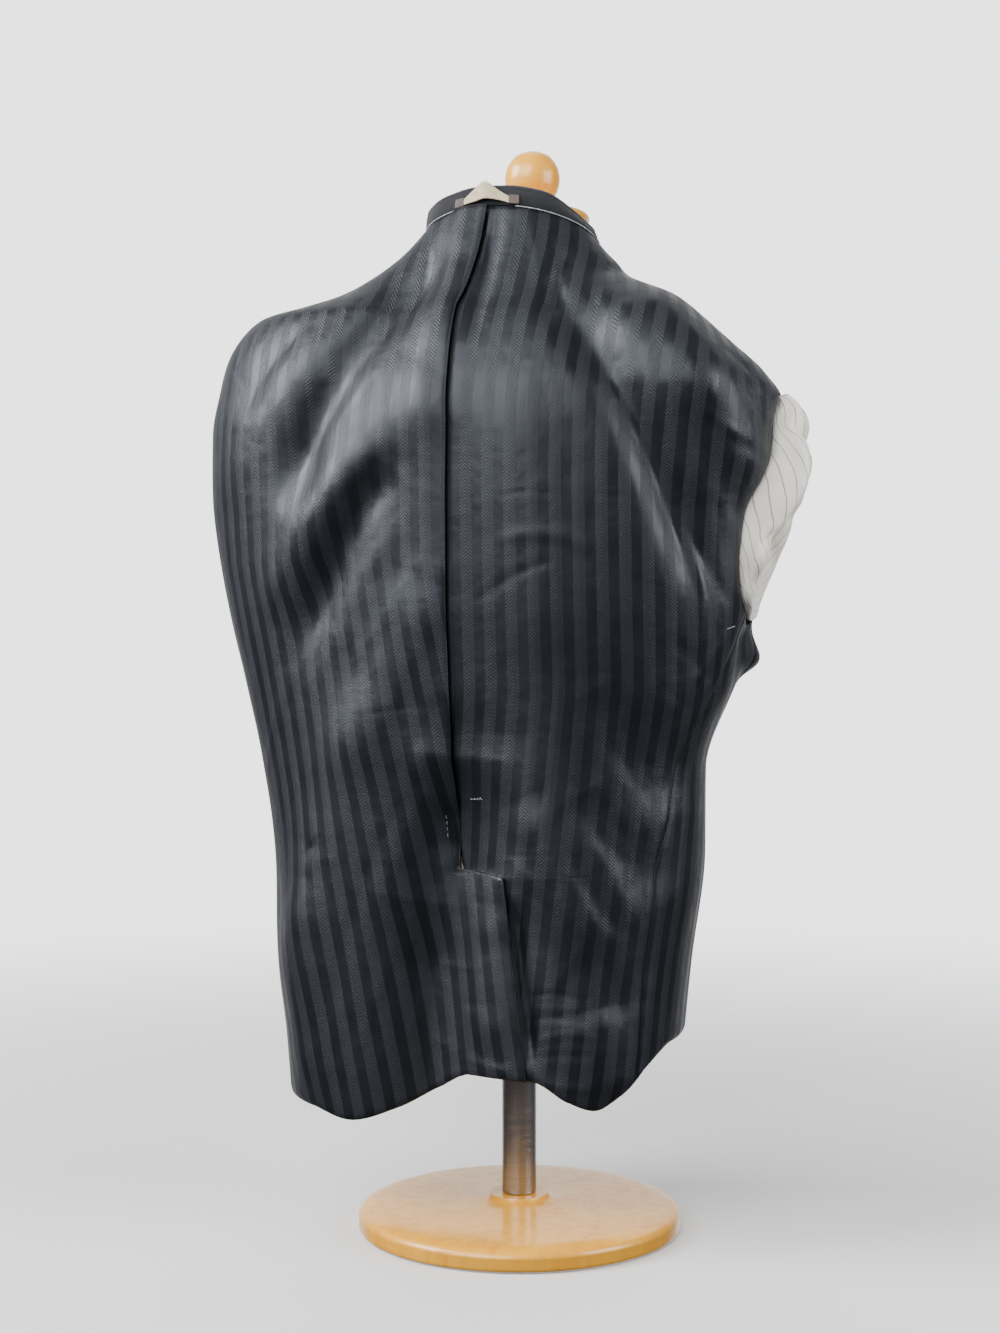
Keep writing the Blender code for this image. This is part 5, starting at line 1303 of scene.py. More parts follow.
def lining_front(side):
    """The lining's front, whose stripes run along the facing's seam."""
    sign = sign_of(side)
    heights = fine_heights()
    outer = sign * set_in(side_edge(side, heights, False), heights, 1.0, VISUAL_GAP)
    fine, seams = front_lines(side)[:2]
    seam = np.interp(hem_row(np.interp(heights, fine, seams), heights), fine, seams)
    seam = set_in(seam, heights, -sign, VISUAL_GAP)
    u = between(outer, seam, fine_shares(0.140))
    if side == "left":
        u = u[:, ::-1]
    v = hem_row(u, heights[:, None])
    from_seam = across_cloth(u, v) - across_cloth(seam, heights)[:, None]
    return cloth_sheet(f"lining_front_{side}", skin(u, v), WALL, ("lining satin", "dark wool"),
                       (from_seam, v), np.ones(v.shape), rolled=SIDES_AND_HEM)


def facing_and_lapel(side):
    """The wool facing with its turned edge or lapel, folded inward."""
    heights = fine_heights()
    edge, back = np.linspace(1.0, 2.0, 11), np.linspace(2.0, 3.0, 16)[1:]
    parts = np.concatenate([fine_shares(0.055)[:-4], edge, back])
    u = np.tile(parts, (len(heights), 1))
    fine, seams, rolls = front_lines(side)[:3]
    seam, roll = np.interp(heights, fine, seams), np.interp(heights, fine, rolls)
    angle = between(seam, roll, np.clip(u, None, 1.0))
    v = hem_row(angle, heights[:, None])
    if side == "left":
        u, v, angle = u[:, ::-1], v[:, ::-1], angle[:, ::-1]
    across = across_cloth(angle, v) + 0.03 * np.clip(u - 1.0, 0.0, None)
    outer = facing_surface(side)(u, v)
    return cloth_sheet(f"facing_and_lapel_{side}", outer, WALL, ("dark wool",), (across, v),
                       rolled=SIDES_AND_HEM)


def neck_collar():
    """The collar, a little uneven round its stand."""
    section = np.concatenate([np.linspace(0.0, 1.0, 12), np.linspace(1.0, 2.0, 12)[1:],
                              np.linspace(2.0, 3.0, 14)[1:]])
    u, v = np.meshgrid(np.linspace(-106.0, 106.0, 150), section)
    turn = np.radians(u)
    wave = 0.0007 * np.sin(turn * 9.0) * np.sin(turn * 5.0 + 1.0) * np.clip(v, 0.0, 1.0)
    outer = collar_surface(u, v) + neck_out(u) * wave[..., None]
    maps = turn * NECK_REACH, 0.018 * v
    return cloth_sheet("neck_collar", outer, WALL, ("dark wool",), maps, rolled=tuple(EDGES))


# Sleeves and their linings

def tube_map(grid):
    """Across and down a tube of points, in metres."""
    around = np.linalg.norm(np.roll(grid, -1, axis=1) - grid, axis=-1).mean(axis=0)
    down = np.linalg.norm(np.diff(grid, axis=0), axis=-1).mean(axis=1)
    across, down = (np.concatenate([[0.0], np.cumsum(steps)]) for steps in (around[:-1], down))
    return np.broadcast_to(across[None, :], grid.shape[:2]), np.broadcast_to(down[:, None], grid.shape[:2])


# How far in from the face the sleeve starts and bends, and how much further at the armhole's point
START_DEEP, BEND_DEEP = (0.0041, 0.0070), (0.0120, 0.0440)


def wool_sleeve(side):
    """The cloth sleeve: from the armhole in and down into a flat tube beside the form."""
    count = 96
    angle, height = hole_loop(side, count)
    share = hole_share(side, height)
    turn = 2.0 * math.pi * np.arange(count) / count
    inner = 0.5 - 0.5 * np.cos(turn)

    def tube(down):
        centre, half, thick, own = read(SLEEVE_ROWS, down, 1, 2, 3, 4)
        tall = SLEEVE_TOP + (CUFF_HEIGHT[side] - SLEEVE_TOP) * down
        crease = 0.0012 * np.sin(down * 38.0 + 2.0 * np.sin(turn)) * math.sin(math.pi * down)
        thick = SLEEVE_THICK * thick + 0.0025 * own * np.cos(2.0 * turn) + crease
        around = sign_of(side) * (centre - half * np.sin(turn))
        return around, np.full(count, tall), SLEEVE_CLEAR + thick * inner

    near_point = ease((share - 0.70) / 0.30)
    start = angle, height - 0.0120 * near_point, START_DEEP[0] + START_DEEP[1] * near_point
    first = tube(0.0)
    bend = (0.6 * angle + 0.4 * first[0], 0.94 * start[1] + 0.06 * first[1],
            BEND_DEEP[0] + BEND_DEEP[1] * ease(share / 0.6))
    rings = []
    for t in np.linspace(0.0, 0.9, 24):
        weights = (1 - t) ** 2, 2 * t * (1 - t), t * t
        rings.append(tucked(*(sum(weight * part for weight, part in zip(weights, parts))
                              for parts in zip(start, bend, first))))
    rings += [tucked(*tube(down)) for down in np.linspace(0.0, 1.0, 110)]
    grid = np.array(rings)
    if side == "right":
        grid = grid[:, ::-1]
    return cloth_sheet(f"wool_sleeve_{side}", grid, WALL, ("dark wool",), tube_map(grid), around=True,
                       rolled=("first row", "last row"))


# Creases of the puffed lining: where round the hole and how far out they start and end, half-width, height
PUFF_CREASES = (
    ("pinch", 0.395, 0.10, 0.425, 0.52, 0.0150, -0.0042),
    ("pinch lip", 0.420, 0.10, 0.452, 0.52, 0.0120, 0.0022),
    ("upper roll crease", 0.455, 0.12, 0.470, 0.46, 0.0100, -0.0022),
    ("main fold", 0.365, 0.34, 0.215, 0.66, 0.0130, -0.0030),
    ("main lobe", 0.330, 0.40, 0.245, 0.60, 0.0260, 0.0034),
    ("long pull one", 0.360, 0.12, 0.150, 0.34, 0.0080, -0.0016),
    ("long pull two", 0.350, 0.20, 0.120, 0.44, 0.0070, 0.0015),
    ("long pull three", 0.300, 0.10, 0.120, 0.24, 0.0070, 0.0012),
    ("long pull four", 0.270, 0.30, 0.140, 0.52, 0.0060, -0.0014),
    ("pocket", 0.165, 0.34, 0.115, 0.52, 0.0120, -0.0046),
    ("pocket edge", 0.190, 0.38, 0.125, 0.62, 0.0080, 0.0028),
    ("folded edge", 0.270, 0.62, 0.080, 0.66, 0.0110, 0.0036),
    ("under folded edge", 0.250, 0.72, 0.070, 0.74, 0.0100, -0.0040),
    ("foot crumple one", 0.075, 0.10, 0.045, 0.50, 0.0070, -0.0022),
    ("foot crumple two", 0.050, 0.12, 0.060, 0.50, 0.0060, 0.0018),
    ("foot crumple three", 0.100, 0.12, 0.085, 0.40, 0.0060, -0.0014),
    ("foot crumple four", 0.020, 0.16, 0.010, 0.60, 0.0080, -0.0024),
    ("front pull one", 0.560, 0.14, 0.740, 0.40, 0.0090, -0.0020),
    ("front pull two", 0.600, 0.20, 0.780, 0.50, 0.0080, 0.0020),
    ("front pull three", 0.660, 0.36, 0.820, 0.62, 0.0110, -0.0030),
    ("front fold", 0.520, 0.44, 0.620, 0.70, 0.0150, -0.0030),
    ("front pocket", 0.840, 0.30, 0.890, 0.56, 0.0120, -0.0036),
    ("front crumple", 0.930, 0.14, 0.960, 0.50, 0.0070, 0.0018),
    ("crest crease one", 0.300, 0.60, 0.360, 0.80, 0.0090, -0.0022),
    ("crest crease two", 0.700, 0.62, 0.760, 0.84, 0.0100, -0.0024),
)


def sleeve_lining(name, grid, maps):
    return cloth_sheet(name, grid, SLEEVE_LINING_WALL, ("pale sleeve lining",), maps, around=True)


def round_gap(where, spot):
    """Distance round the armhole from a spot, as a share of the way round."""
    return (where - spot + 0.5) % 1.0 - 0.5


def puffed_lining():
    """The right sleeve's lining, pushed out of its armhole in a crumpled pouch."""
    count = 168
    angle, height = hole_loop("right", count)
    rim = skin(angle, height)
    middle, out = rim.mean(axis=0), unit(ring_normal(angle, height).mean(axis=0))
    where = np.arange(count) / count
    swell = read(columns(PUFF_SWELL), hole_share("right", height), 1)[0]
    crease = sum(tall * np.exp(-(round_gap(where, spot) / half) ** 2)
                 for spot, half, tall in columns(PUFF_FOLDS))
    rows = columns(PUFF)
    places = np.linspace(0.0, len(rows) - 1.0, 92)
    rings = []
    for place in places:
        size, far = read_even(rows, place)
        weight = math.sin(math.pi * min(place / PUFF_HALF, 1.0))
        reach = far * PUFF_REACH * swell if far > 0 else np.full(count, far)
        rings.append(ring_about(rim, middle, out, size, reach + crease * weight * np.clip(swell, 0.15, 1.0)))
    grid = np.array(rings)
    normal = grid_normal(grid, True)
    far_out = places[:, None] / places[-1]
    across, down = tube_map(grid)
    around, deep = float(across[0, -1]), float(down[-1, 0])
    for start, start_out, stop, stop_out, half, tall in columns(PUFF_CREASES):
        t = np.linspace(0.0, 1.0, 24)
        gap = round_gap(where[None, :, None], start + (stop - start) * t) * around
        rise = (far_out[..., None] - (start_out + (stop_out - start_out) * t)) * deep
        near = np.min(gap**2 + rise**2, axis=-1)
        high = tall * np.exp(-near / half**2) * ease(far_out / 0.10) * ease(swell / 0.3)
        grid = grid + normal * high[..., None]
    maps = down + 0.42 * grid[..., 2], across
    return sleeve_lining("puffed_lining_right", grid, maps)


def fallen_lining():
    """The left sleeve's lining, falling into its armhole."""
    count = 120
    angle, height = hole_loop("left", count)
    across, middle = angle.mean(), (UNDERARM_HEIGHT["left"] + POINT_HEIGHT["left"]) / 2.0
    turn = 2.0 * math.pi * np.arange(count) / count
    rows = columns(FUNNEL)
    rings = []
    for place in np.linspace(0.0, len(rows) - 1.0, 30):
        size, far = read_even(rows, place)
        ripple = 0.0009 * np.sin(11.0 * turn) * math.sin(math.pi * place / (len(rows) - 1.0))
        drawn = skin(across + (angle - across) * size, middle + (height - middle) * size, far + ripple)
        rings.append(drawn[::-1])
    grid = np.array(rings)
    return sleeve_lining("fallen_lining_left", grid, tube_map(grid))


# Hanger loop and sewing

def strap_piece(name, finish, u, v):
    return cloth_sheet(name, loop_surface(u, v), LOOP_WALL, (finish,), (np.radians(u) * NECK_REACH, v))


def strap_loop():
    angle, low, high = read(columns(LOOP), np.linspace(0.0, 1.0, 72), 1, 2, 3)
    v = low + (high - low) * np.linspace(0.0, 1.0, 14)[:, None]
    return strap_piece("strap_loop", "woven loop", np.tile(angle, (len(v), 1)), v)


def strap_end(side):
    u, v = np.meshgrid(np.linspace(*LOOP_ENDS[side], 16), np.linspace(*LOOP_END_HEIGHTS, 14))
    return strap_piece(f"strap_end_{side}", "brown woven end", u, v)


def thread_tubes(name, finish, runs, sides=8):
    """Rounded tubes of thread along runs of points, each with its own radius."""
    points, faces = [], []
    turn = 2.0 * math.pi * np.arange(sides) / sides
    for run, radius in runs:
        run = np.asarray(run, float)
        way = unit(np.gradient(run, axis=0))
        side = unit(np.cross(way, np.array([0.3, 0.2, 0.93])))
        top = np.cross(way, side)
        share = np.arange(len(run)) / (len(run) - 1.0)
        ends = np.sqrt(np.clip(1.0 - (2.0 * share - 1.0) ** 40, 0.08, 1.0))
        for point, s, u, end in zip(run, side, top, ends):
            points += list(point + radius * end * (np.outer(np.cos(turn), s) + np.outer(np.sin(turn), u)))
        start = len(points) - len(run) * sides
        faces += quads(len(run), sides, start, False, True).tolist()
        faces += [list(range(start, start + sides))[::-1], list(range(len(points) - sides, len(points)))]
    return make_piece(name, points, faces, (finish,))


def on_back(x, z, surface, lift):
    """The point on the back nearest to a given x and height."""
    angles, heights = np.meshgrid(np.linspace(-85.0, 85.0, 171),
                                  np.linspace(z - 0.05, min(z + 0.05, 0.925), 41))
    plain = ring(angles, heights)
    best = np.argmin((plain[..., 0] - x) ** 2 + (plain[..., 2] - z) ** 2)
    angle, height = angles.ravel()[best], heights.ravel()[best]
    return surface(np.array(angle), np.array(height)) + ring_normal(angle, height) * lift


def stitch_run(surface, start, stop):
    """Points of a hand stitch, arched a little over the cloth."""
    first, last = (on_back(*end, surface, 0.0004) for end in (start, stop))
    t = np.linspace(0.0, 1.0, 9)[:, None]
    return first + (last - first) * t + np.array([0.0, 0.0005, 0.0]) * np.sin(math.pi * t)


# Hand stitches at the pleat's foot, the vent's upper end and the right waist: surface, x and height where the
# first starts and ends, step to the next start and end, how many, share of the thread's thickness
STITCHES = (
    (back_right_surface, (0.0175, 0.4060), (0.0150, 0.4052), (-0.0035, 0.0004), (-0.0035, 0.0), 4, 1.0),
    (back_left_surface, (0.0405, 0.3910), (0.0400, 0.3875), (0.0, -0.0052), (0.0, -0.0052), 4, 0.8),
    (back_right_surface, (-0.2040, 0.5560), (-0.2100, 0.5590), (0.0, 0.0), (0.0, 0.0), 1, 1.0),
)
PIPED = ((-104.0, -24.0), (13.0, 104.0))        # angles of the neck seam where its piping shows


def sewing():
    """Neck seam piping and the hand stitches that show on the lining."""
    trim = bpy.context.scene.blazer_trim
    piping = []
    for first, last in PIPED:
        angle = np.linspace(first, last, 120)
        edge = neck_edge(angle) + neck_out(angle) * 0.0006
        piping.append((edge + np.array([0.0, 0.0, 0.0004]), trim.cord_radius))
    seat(thread_tubes("neck_piping", "pale thread", piping), "dark_wool")
    stitches = []
    for surface, start, stop, start_step, stop_step, number, share in STITCHES:
        for k in range(number):
            first, last = np.add(start, np.multiply(start_step, k)), np.add(stop, np.multiply(stop_step, k))
            stitches.append((stitch_run(surface, first, last), trim.thread_radius * share))
    seat(thread_tubes("hand_stitches", "pale thread", stitches), "dark_wool")


# Turned and moulded pieces, with Blender's own modelling tools

def only(piece):
    if bpy.context.object and bpy.context.object.mode != "OBJECT":
        bpy.ops.object.mode_set(mode="OBJECT")
    bpy.ops.object.select_all(action="DESELECT")
    piece.select_set(True)
    bpy.context.view_layer.objects.active = piece


def rest_in_place(piece):
    only(piece)
    bpy.ops.object.transform_apply(location=True, rotation=True, scale=True)


def turned(name, profile, centre, sides, finish):
    """A turned piece: a circle extruded and scaled along its profile, from the bottom to the top."""
    bpy.ops.object.select_all(action="DESELECT")
    radius, height = profile[0]
    bpy.ops.mesh.primitive_circle_add(vertices=sides, radius=radius, fill_type="NGON",
                                      location=(centre[0], centre[1], height))
    piece = bpy.context.object
    piece.name = name
    bpy.ops.object.mode_set(mode="EDIT")
    bpy.ops.mesh.select_mode(type="FACE")
    bpy.ops.mesh.select_all(action="SELECT")
    for wide, high in profile[1:]:
        bpy.ops.mesh.extrude_region_move(TRANSFORM_OT_translate={"value": (0.0, 0.0, high - height)})
        share = wide / radius
        bpy.ops.transform.resize(value=(share, share, 1.0), center_override=(centre[0], centre[1], high))
        radius, height = wide, high
    bpy.ops.mesh.select_all(action="SELECT")
    bpy.ops.mesh.remove_doubles(threshold=1e-6)
    bpy.ops.mesh.normals_make_consistent(inside=False)
    bpy.ops.object.mode_set(mode="OBJECT")
    bpy.ops.object.shade_smooth_by_angle(angle=math.radians(38.0))
    rest_in_place(piece)
    piece.data.materials.append(finish_of(finish))
    return piece


def fine_profile(profile, count):
    """A profile with more points along it, all its own kept."""
    rows = np.array(profile)
    keys = np.concatenate([[0.0], np.cumsum(np.linalg.norm(np.diff(rows, axis=0), axis=1))])
    where = np.unique(np.concatenate([np.linspace(0.0, keys[-1], count), keys]))
    return list(zip(*(smooth_through(keys, column, where).tolist() for column in rows.T)))


def covered_torso():
    """The form's torso: a merged copy of its solid, smoothed and covered."""
    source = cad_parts["form_torso"]
    piece = bpy.data.objects.new("covered_torso", source.data.copy())
    piece.data.materials.clear()
    bpy.context.scene.collection.objects.link(piece)
    only(piece)
    bpy.ops.object.mode_set(mode="EDIT")
    bpy.ops.mesh.select_all(action="SELECT")
    bpy.ops.mesh.remove_doubles(threshold=1e-5)
    bpy.ops.mesh.tris_convert_to_quads(face_threshold=math.radians(60.0), shape_threshold=math.radians(60.0))
    bpy.ops.object.mode_set(mode="OBJECT")
    smooth = piece.modifiers.new("Smooth cover", "SUBSURF")
    smooth.levels = smooth.render_levels = 2
    bpy.ops.object.modifier_apply(modifier=smooth.name)
    bpy.ops.object.shade_smooth()
    piece.data.materials.append(finish_of("linen cover"))
    return piece


# Button: profile as shares of its radius and thickness, where its holes lie, heights on the front
BUTTON_PROFILE = (
    (0.80, 0.0), (0.93, 0.06), (0.99, 0.24), (1.0, 0.45), (0.99, 0.70), (0.95, 0.90), (0.89, 1.0),
    (0.82, 0.97), (0.74, 0.82), (0.62, 0.74), (0.30, 0.72),
)
BUTTON_HOLES = (4, 0.0010, 0.0021)      # number, radius, distance from the middle
BUTTON_HEIGHTS = {"upper": 0.540, "lower": 0.440}


def drilled(piece):
    """Drill the button's holes."""
    number, radius, away = BUTTON_HOLES
    for k in range(number):
        spin = math.pi / number + k * 2.0 * math.pi / number
        bpy.ops.object.select_all(action="DESELECT")
        bpy.ops.mesh.primitive_cylinder_add(vertices=20, radius=radius, depth=0.02,
                                            location=(away * math.cos(spin), away * math.sin(spin), 0.0))
        drill = bpy.context.object
        only(piece)
        hole = piece.modifiers.new("Hole", "BOOLEAN")
        hole.operation, hole.object, hole.solver = "DIFFERENCE", drill, "EXACT"
        bpy.ops.object.modifier_apply(modifier=hole.name)
        bpy.data.objects.remove(drill, do_unlink=True)


def button(place):
    """A four-hole horn button: turned, drilled, and laid on the left facing."""
    height = BUTTON_HEIGHTS[place]
    profile = [(BUTTON_RADIUS * wide, BUTTON_THICK * high) for wide, high in BUTTON_PROFILE]
    sides = bpy.context.scene.blazer_trim.button_sides
    piece = turned(f"horn_button_{place}", profile, (0.0, 0.0), sides, "dark horn")
    drilled(piece)
    roll = read(FRONT_ROWS, height, 2)[0]
    angle = angle_at(roll + 0.0235, height, "left")[0]
    place = skin(angle, height, -(WALL + 0.0006))
    normal = -slope_normal(skin, angle, height, 0.4, 0.001)
    side = unit(np.cross((0.0, 0.0, 1.0), normal))
    from_flat = np.stack([side, np.cross(normal, side), normal], axis=1)
    points = np.empty(len(piece.data.vertices) * 3, dtype=np.float32)
    piece.data.vertices.foreach_get("co", points)
    laid = points.reshape(-1, 3) @ from_flat.T + place
    piece.data.vertices.foreach_set("co", laid.astype(np.float32).ravel())
    piece.data.update()
    return piece


# Turned pieces by the end of their node's name
TURNED = {"neck_cap": "turned_cap", "knob": "turned_knob", "post": "turned_post", "foot": "turned_foot"}


def knob_profile():
    """The knob's profile, closed by a small flat top."""
    return fine_profile(KNOB, 44) + [(0.0060, 1.01365), (0.0030, 1.0140), (0.0008, 1.0141)]


def post_profile():
    """The post's straight profile, with a small bevel at its foot."""
    low, high, bevel = POST[0][1], POST[1][1], 0.0008
    return [(POST_RADIUS - bevel, low), (POST_RADIUS, low + bevel), (POST_RADIUS, 0.100), (POST_RADIUS, high)]


# Studio

# Lamps: name, place, height aimed at, width, spread in degrees
LAMPS = (
    ("key", (1.80, 0.90, 1.75), 0.80, 1.3, 100.0), ("front", (0.55, 2.30, 1.95), 0.72, 2.0, 150.0),
    ("edge", (-1.90, 0.25, 1.25), 0.75, 1.2, 150.0),
)
LAMP_TONE = (1.0, 0.995, 0.985)
BACKDROP_WAY = (0.2756, -0.9613)    # level direction to the backdrop
CAMERA_PLACE, CAMERA_TURN = (-0.4878, 1.7327, 0.5230), 196.0
LENS, SENSOR, LENS_SHIFT = 51.85, 36.0, -0.0075


def studio_world():
    """Light from a backdrop behind the form, and a little from the rest of the studio."""
    studio = bpy.context.scene.blazer_studio
    world = bpy.data.worlds.new("studio")
    bpy.context.scene.world = world
    world.use_nodes = True
    nodes = Nodes(world.node_tree)
    x, y, _ = nodes.split(nodes.add("ShaderNodeTexCoord").outputs["Generated"])
    level = nodes.level_distance(x, y)
    way = [nodes.math("MULTIPLY", each, part) for each, part in zip((x, y), BACKDROP_WAY)]
    toward = nodes.math("DIVIDE", nodes.math("ADD", *way), nodes.math("ADD", level, 1e-4))
    back = world.node_tree.nodes["Background"]
    share = nodes.soft(toward, 0.62, 0.965)
    nodes.put(back.inputs["Color"], nodes.mix(share, tint(studio.shade), tint(studio.backdrop)))
    back.inputs["Strength"].default_value = studio.backdrop_power


def glow(nodes):
    """The wall's own even light."""
    node = nodes.add("ShaderNodeEmission")
    node.inputs["Color"].default_value = (0.995, 0.997, 1.0, 1.0)
    node.inputs["Strength"].default_value = bpy.context.scene.blazer_studio.wall_power
    return node.outputs[0]


def wall_finish(name):
    """Evenly lit pale wall."""
    finish, nodes, _ = new_finish(name)
    nodes.put(finish.node_tree.nodes["Material Output"].inputs["Surface"], glow(nodes))
    return finish


def floor_finish(name):
    """Pale floor that runs into the wall's own light far from the form."""
    finish, nodes, shader = new_finish(name, 0.75, Specular_IOR_Level=0.2)
    away = nodes.level_distance(*nodes.split(nodes.place())[:2])
    speck = nodes.soft(nodes.noise(3.0), 0.3, 0.7)
    nodes.put(shader["Base Color"], nodes.mix(speck, (0.90, 0.90, 0.90), (0.88, 0.88, 0.885)))
    tree = finish.node_tree
    blend = nodes.add("ShaderNodeMixShader")
    nodes.put(blend.inputs[0], nodes.soft(away, 0.35, 2.4))
    nodes.put(blend.inputs[1], tree.nodes["Principled BSDF"].outputs[0])
    nodes.put(blend.inputs[2], glow(nodes))
    nodes.put(tree.nodes["Material Output"].inputs["Surface"], blend.outputs[0])
    return finish


def floor_and_wall():
    """The pale floor and the round wall, seen by the camera alone."""
    studio = bpy.context.scene.blazer_studio
    bpy.ops.object.select_all(action="DESELECT")
    bpy.ops.mesh.primitive_plane_add(size=studio.floor_size, location=(0.0, 0.0, 0.0))
    floor = bpy.context.object
    floor.name = "pale_floor"
    floor.data.materials.append(floor_finish("pale floor"))
    bpy.ops.mesh.primitive_cylinder_add(vertices=96, radius=studio.wall_radius,
                                        depth=2.0 * studio.wall_radius, location=(0.0, 0.0, 0.0))
    wall = bpy.context.object
    wall.name = "pale_wall"
    wall.data.materials.append(wall_finish("pale wall"))
    wall.visible_shadow = False
    for piece in (floor, wall):
        piece.visible_diffuse = piece.visible_glossy = False


def hang_lamp(name, place, high, size, spread):
    """A square lamp, aimed at a height on the form."""
    lamp = bpy.data.lights.new(name, "AREA")
    lamp.shape, lamp.size = "SQUARE", size
    lamp.energy = getattr(bpy.context.scene.blazer_studio, f"{name}_power")
    lamp.spread = math.radians(spread)
    lamp.color = LAMP_TONE
    light = bpy.data.objects.new(name, lamp)
    light.location = place
    aim = np.array((0.02, 0.0, high)) - np.array(place)
    tilt, turn = math.atan2(math.hypot(aim[0], aim[1]), -aim[2]), math.atan2(aim[1], aim[0])
    light.rotation_euler = (tilt, 0.0, turn - math.pi / 2.0)
    bpy.context.scene.collection.objects.link(light)


def place_camera():
    """The camera, level and behind the form's right."""
    eye = bpy.data.cameras.new("studio_camera")
    eye.lens, eye.sensor_width, eye.shift_x = LENS, SENSOR, LENS_SHIFT
    eye.clip_start, eye.clip_end = 0.05, 200.0
    camera = bpy.data.objects.new("studio_camera", eye)
    camera.location = CAMERA_PLACE
    camera.rotation_euler = (math.radians(90.0), 0.0, math.radians(CAMERA_TURN))
    bpy.context.scene.collection.objects.link(camera)
    bpy.context.scene.camera = camera


# Operators

class BLAZER_OT_lining_backs(bpy.types.Operator):
    """Build the left and right back of the lining, with the pleat and the vent"""
    bl_idname = "blazer.lining_backs"
    bl_label = "Lining Backs"

    def execute(self, context):
        seat(lining_back_left(), "lining_satin", "back_left")
        seat(lining_back_right(), "lining_satin", "back_right")
        return {"FINISHED"}


class BLAZER_OT_lining_sides(bpy.types.Operator):
    """Build the lining's side panels and fronts"""
    bl_idname = "blazer.lining_sides"
    bl_label = "Lining Sides and Fronts"

    def execute(self, context):
        for side in ("left", "right"):
            seat(lining_side(side), "lining_satin", f"side_{side}")
            seat(lining_front(side), "lining_satin", f"front_{side}")
        return {"FINISHED"}


class BLAZER_OT_facings(bpy.types.Operator):
    """Build the wool facings with their lapels"""
    bl_idname = "blazer.facings"
    bl_label = "Facings and Lapels"

    def execute(self, context):
        for side in ("left", "right"):
            seat(facing_and_lapel(side), "dark_wool", f"facing_{side}")
        return {"FINISHED"}


class BLAZER_OT_collar(bpy.types.Operator):
    """Build the collar"""
    bl_idname = "blazer.collar"
    bl_label = "Collar"

    def execute(self, context):
        seat(neck_collar(), "dark_wool", "collar")
        return {"FINISHED"}


class BLAZER_OT_sleeves(bpy.types.Operator):
    """Build the wool sleeves, tucked inside the body"""
    bl_idname = "blazer.sleeves"
    bl_label = "Sleeves"

    def execute(self, context):
        for side in ("left", "right"):
            seat(wool_sleeve(side), "dark_wool", f"sleeve_{side}")
        return {"FINISHED"}


class BLAZER_OT_sleeve_linings(bpy.types.Operator):
    """Build the sleeve linings: the puff at the right armhole and the one fallen into the left"""
    bl_idname = "blazer.sleeve_linings"
    bl_label = "Sleeve Linings"

    def execute(self, context):
        seat(puffed_lining(), "pale_sleeve_lining", "sleeve_lining_right")
        seat(fallen_lining(), "pale_sleeve_lining", "sleeve_lining_left")
        return {"FINISHED"}


class BLAZER_OT_strap(bpy.types.Operator):
    """Build the woven hanger loop and its two sewn ends"""
    bl_idname = "blazer.strap"
    bl_label = "Hanger Loop"

    def execute(self, context):
        seat(strap_loop(), "woven_loop", "hanger_loop")
        for side in LOOP_ENDS:
            seat(strap_end(side), "brown_woven_end", f"loop_end_{side}")
        return {"FINISHED"}


class BLAZER_OT_sewing(bpy.types.Operator):
    """Sew the neck seam's piping and the hand stitches"""
    bl_idname = "blazer.sewing"
    bl_label = "Piping and Stitches"

    def execute(self, context):
        sewing()
        return {"FINISHED"}


class BLAZER_OT_buttons(bpy.types.Operator):
    """Turn and drill the two front buttons"""
    bl_idname = "blazer.buttons"
    bl_label = "Buttons"

    def execute(self, context):
        for place in BUTTON_HEIGHTS:
            seat(button(place), "dark_horn", f"button_{place}")
        return {"FINISHED"}


class BLAZER_OT_torso(bpy.types.Operator):
    """Smooth and cover the form's torso"""
    bl_idname = "blazer.torso"
    bl_label = "Form Torso"

    def execute(self, context):
        seat(covered_torso(), "form_cover", "form_torso")
        return {"FINISHED"}


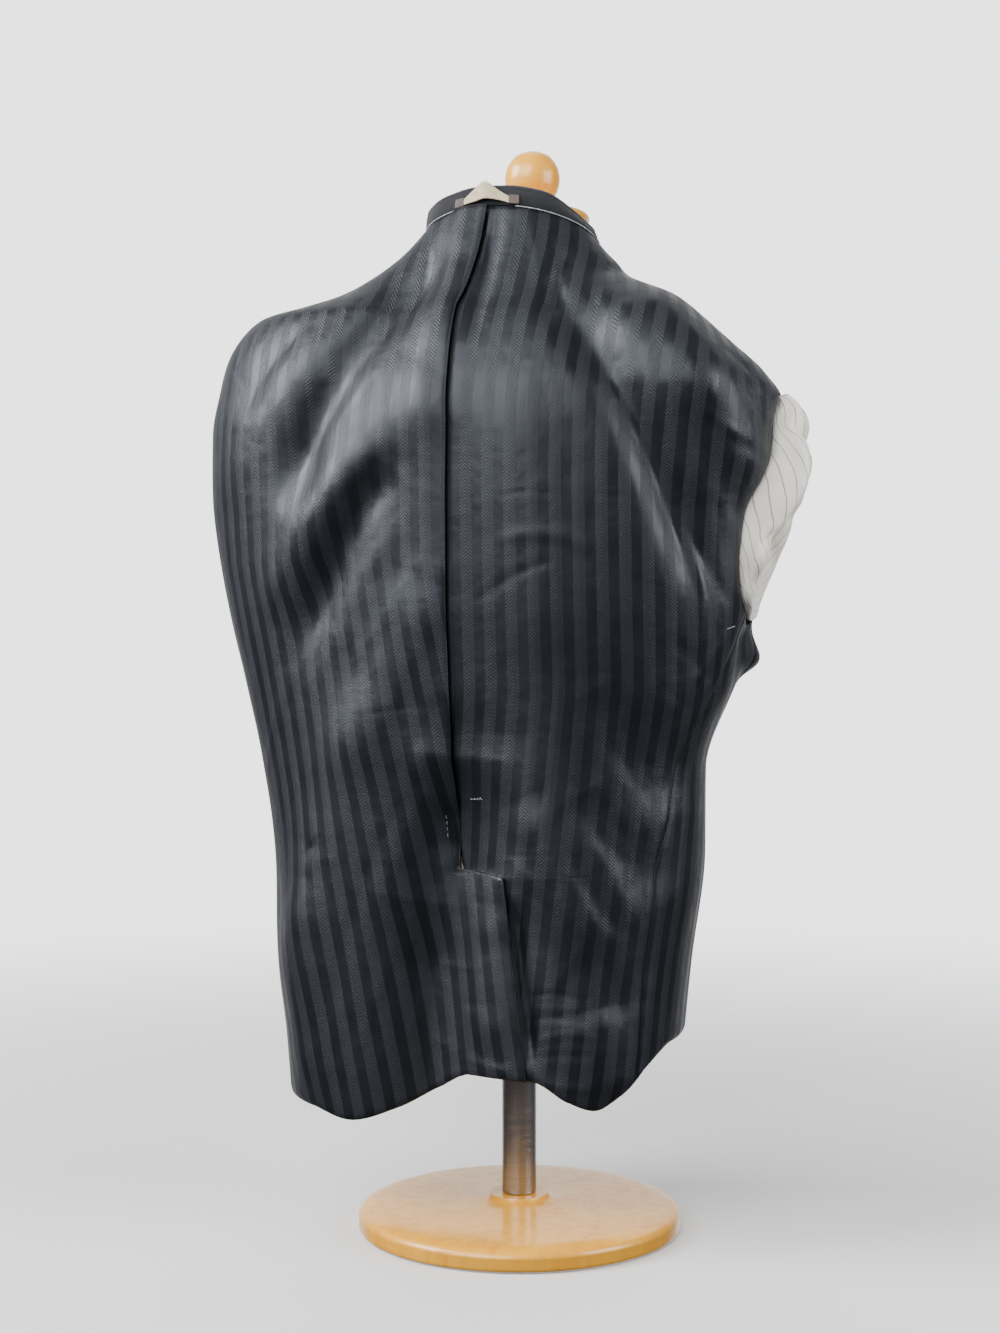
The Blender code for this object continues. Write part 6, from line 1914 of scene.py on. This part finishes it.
class BLAZER_OT_turned(bpy.types.Operator):
    """Turn the form's neck cap, knob, post and foot"""
    bl_idname = "blazer.turned"
    bl_label = "Cap, Knob, Post and Foot"

    def execute(self, context):
        sides = context.scene.blazer_form.sides
        for name, profile, centre in (("neck_cap", fine_profile(CAP, 26), NECK_CENTRE),
                                      ("knob", knob_profile(), NECK_CENTRE),
                                      ("post", post_profile(), (0.0, 0.0)),
                                      ("foot", fine_profile(FOOT, 40), (0.0, 0.0))):
            if name == "post":
                finish, slot = "brushed steel", "brushed_post"
            else:
                finish, slot = "honey wood", "honey_wood"
            seat(turned(TURNED[name], profile, centre, sides, finish), slot, f"form_{name}")
        return {"FINISHED"}


class BLAZER_OT_studio(bpy.types.Operator):
    """Lay the pale floor, light the studio and place the camera"""
    bl_idname = "blazer.studio"
    bl_label = "Studio"

    def execute(self, context):
        floor_and_wall()
        studio_world()
        for lamp in LAMPS:
            hang_lamp(*lamp)
        place_camera()
        return {"FINISHED"}


STEPS = (BLAZER_OT_lining_backs, BLAZER_OT_lining_sides, BLAZER_OT_facings, BLAZER_OT_collar,
         BLAZER_OT_sleeves, BLAZER_OT_sleeve_linings, BLAZER_OT_strap, BLAZER_OT_sewing, BLAZER_OT_buttons,
         BLAZER_OT_torso, BLAZER_OT_turned, BLAZER_OT_studio)
SETTINGS = (("blazer_cloth", ClothSettings), ("blazer_trim", TrimSettings), ("blazer_form", FormSettings),
            ("blazer_studio", StudioSettings))


class BLAZER_PT_panel(bpy.types.Panel):
    """Sizes, colours and steps of the blazer on its dress form"""
    bl_label = "Blazer on Dress Form"
    bl_idname = "BLAZER_PT_panel"
    bl_space_type = "VIEW_3D"
    bl_region_type = "UI"
    bl_category = "Blazer"

    def draw(self, context):
        for step in STEPS:
            self.layout.operator(step.bl_idname)
        for name, group in SETTINGS:
            box = self.layout.box()
            for key in group.__annotations__:
                box.prop(getattr(context.scene, name), key)


def register():
    for name, group in SETTINGS:
        bpy.utils.register_class(group)
        setattr(bpy.types.Scene, name, bpy.props.PointerProperty(type=group))
    for step in STEPS + (BLAZER_PT_panel,):
        bpy.utils.register_class(step)


def unregister():
    for step in STEPS[::-1] + (BLAZER_PT_panel,):
        bpy.utils.unregister_class(step)
    for name, group in SETTINGS:
        delattr(bpy.types.Scene, name)
        bpy.utils.unregister_class(group)


def main():
    register()
    for step in STEPS:
        group, action = step.bl_idname.split(".")
        if getattr(getattr(bpy.ops, group), action)() != {"FINISHED"}:
            raise RuntimeError(f"{step.bl_label} did not finish")


if __name__ == "__main__":
    main()
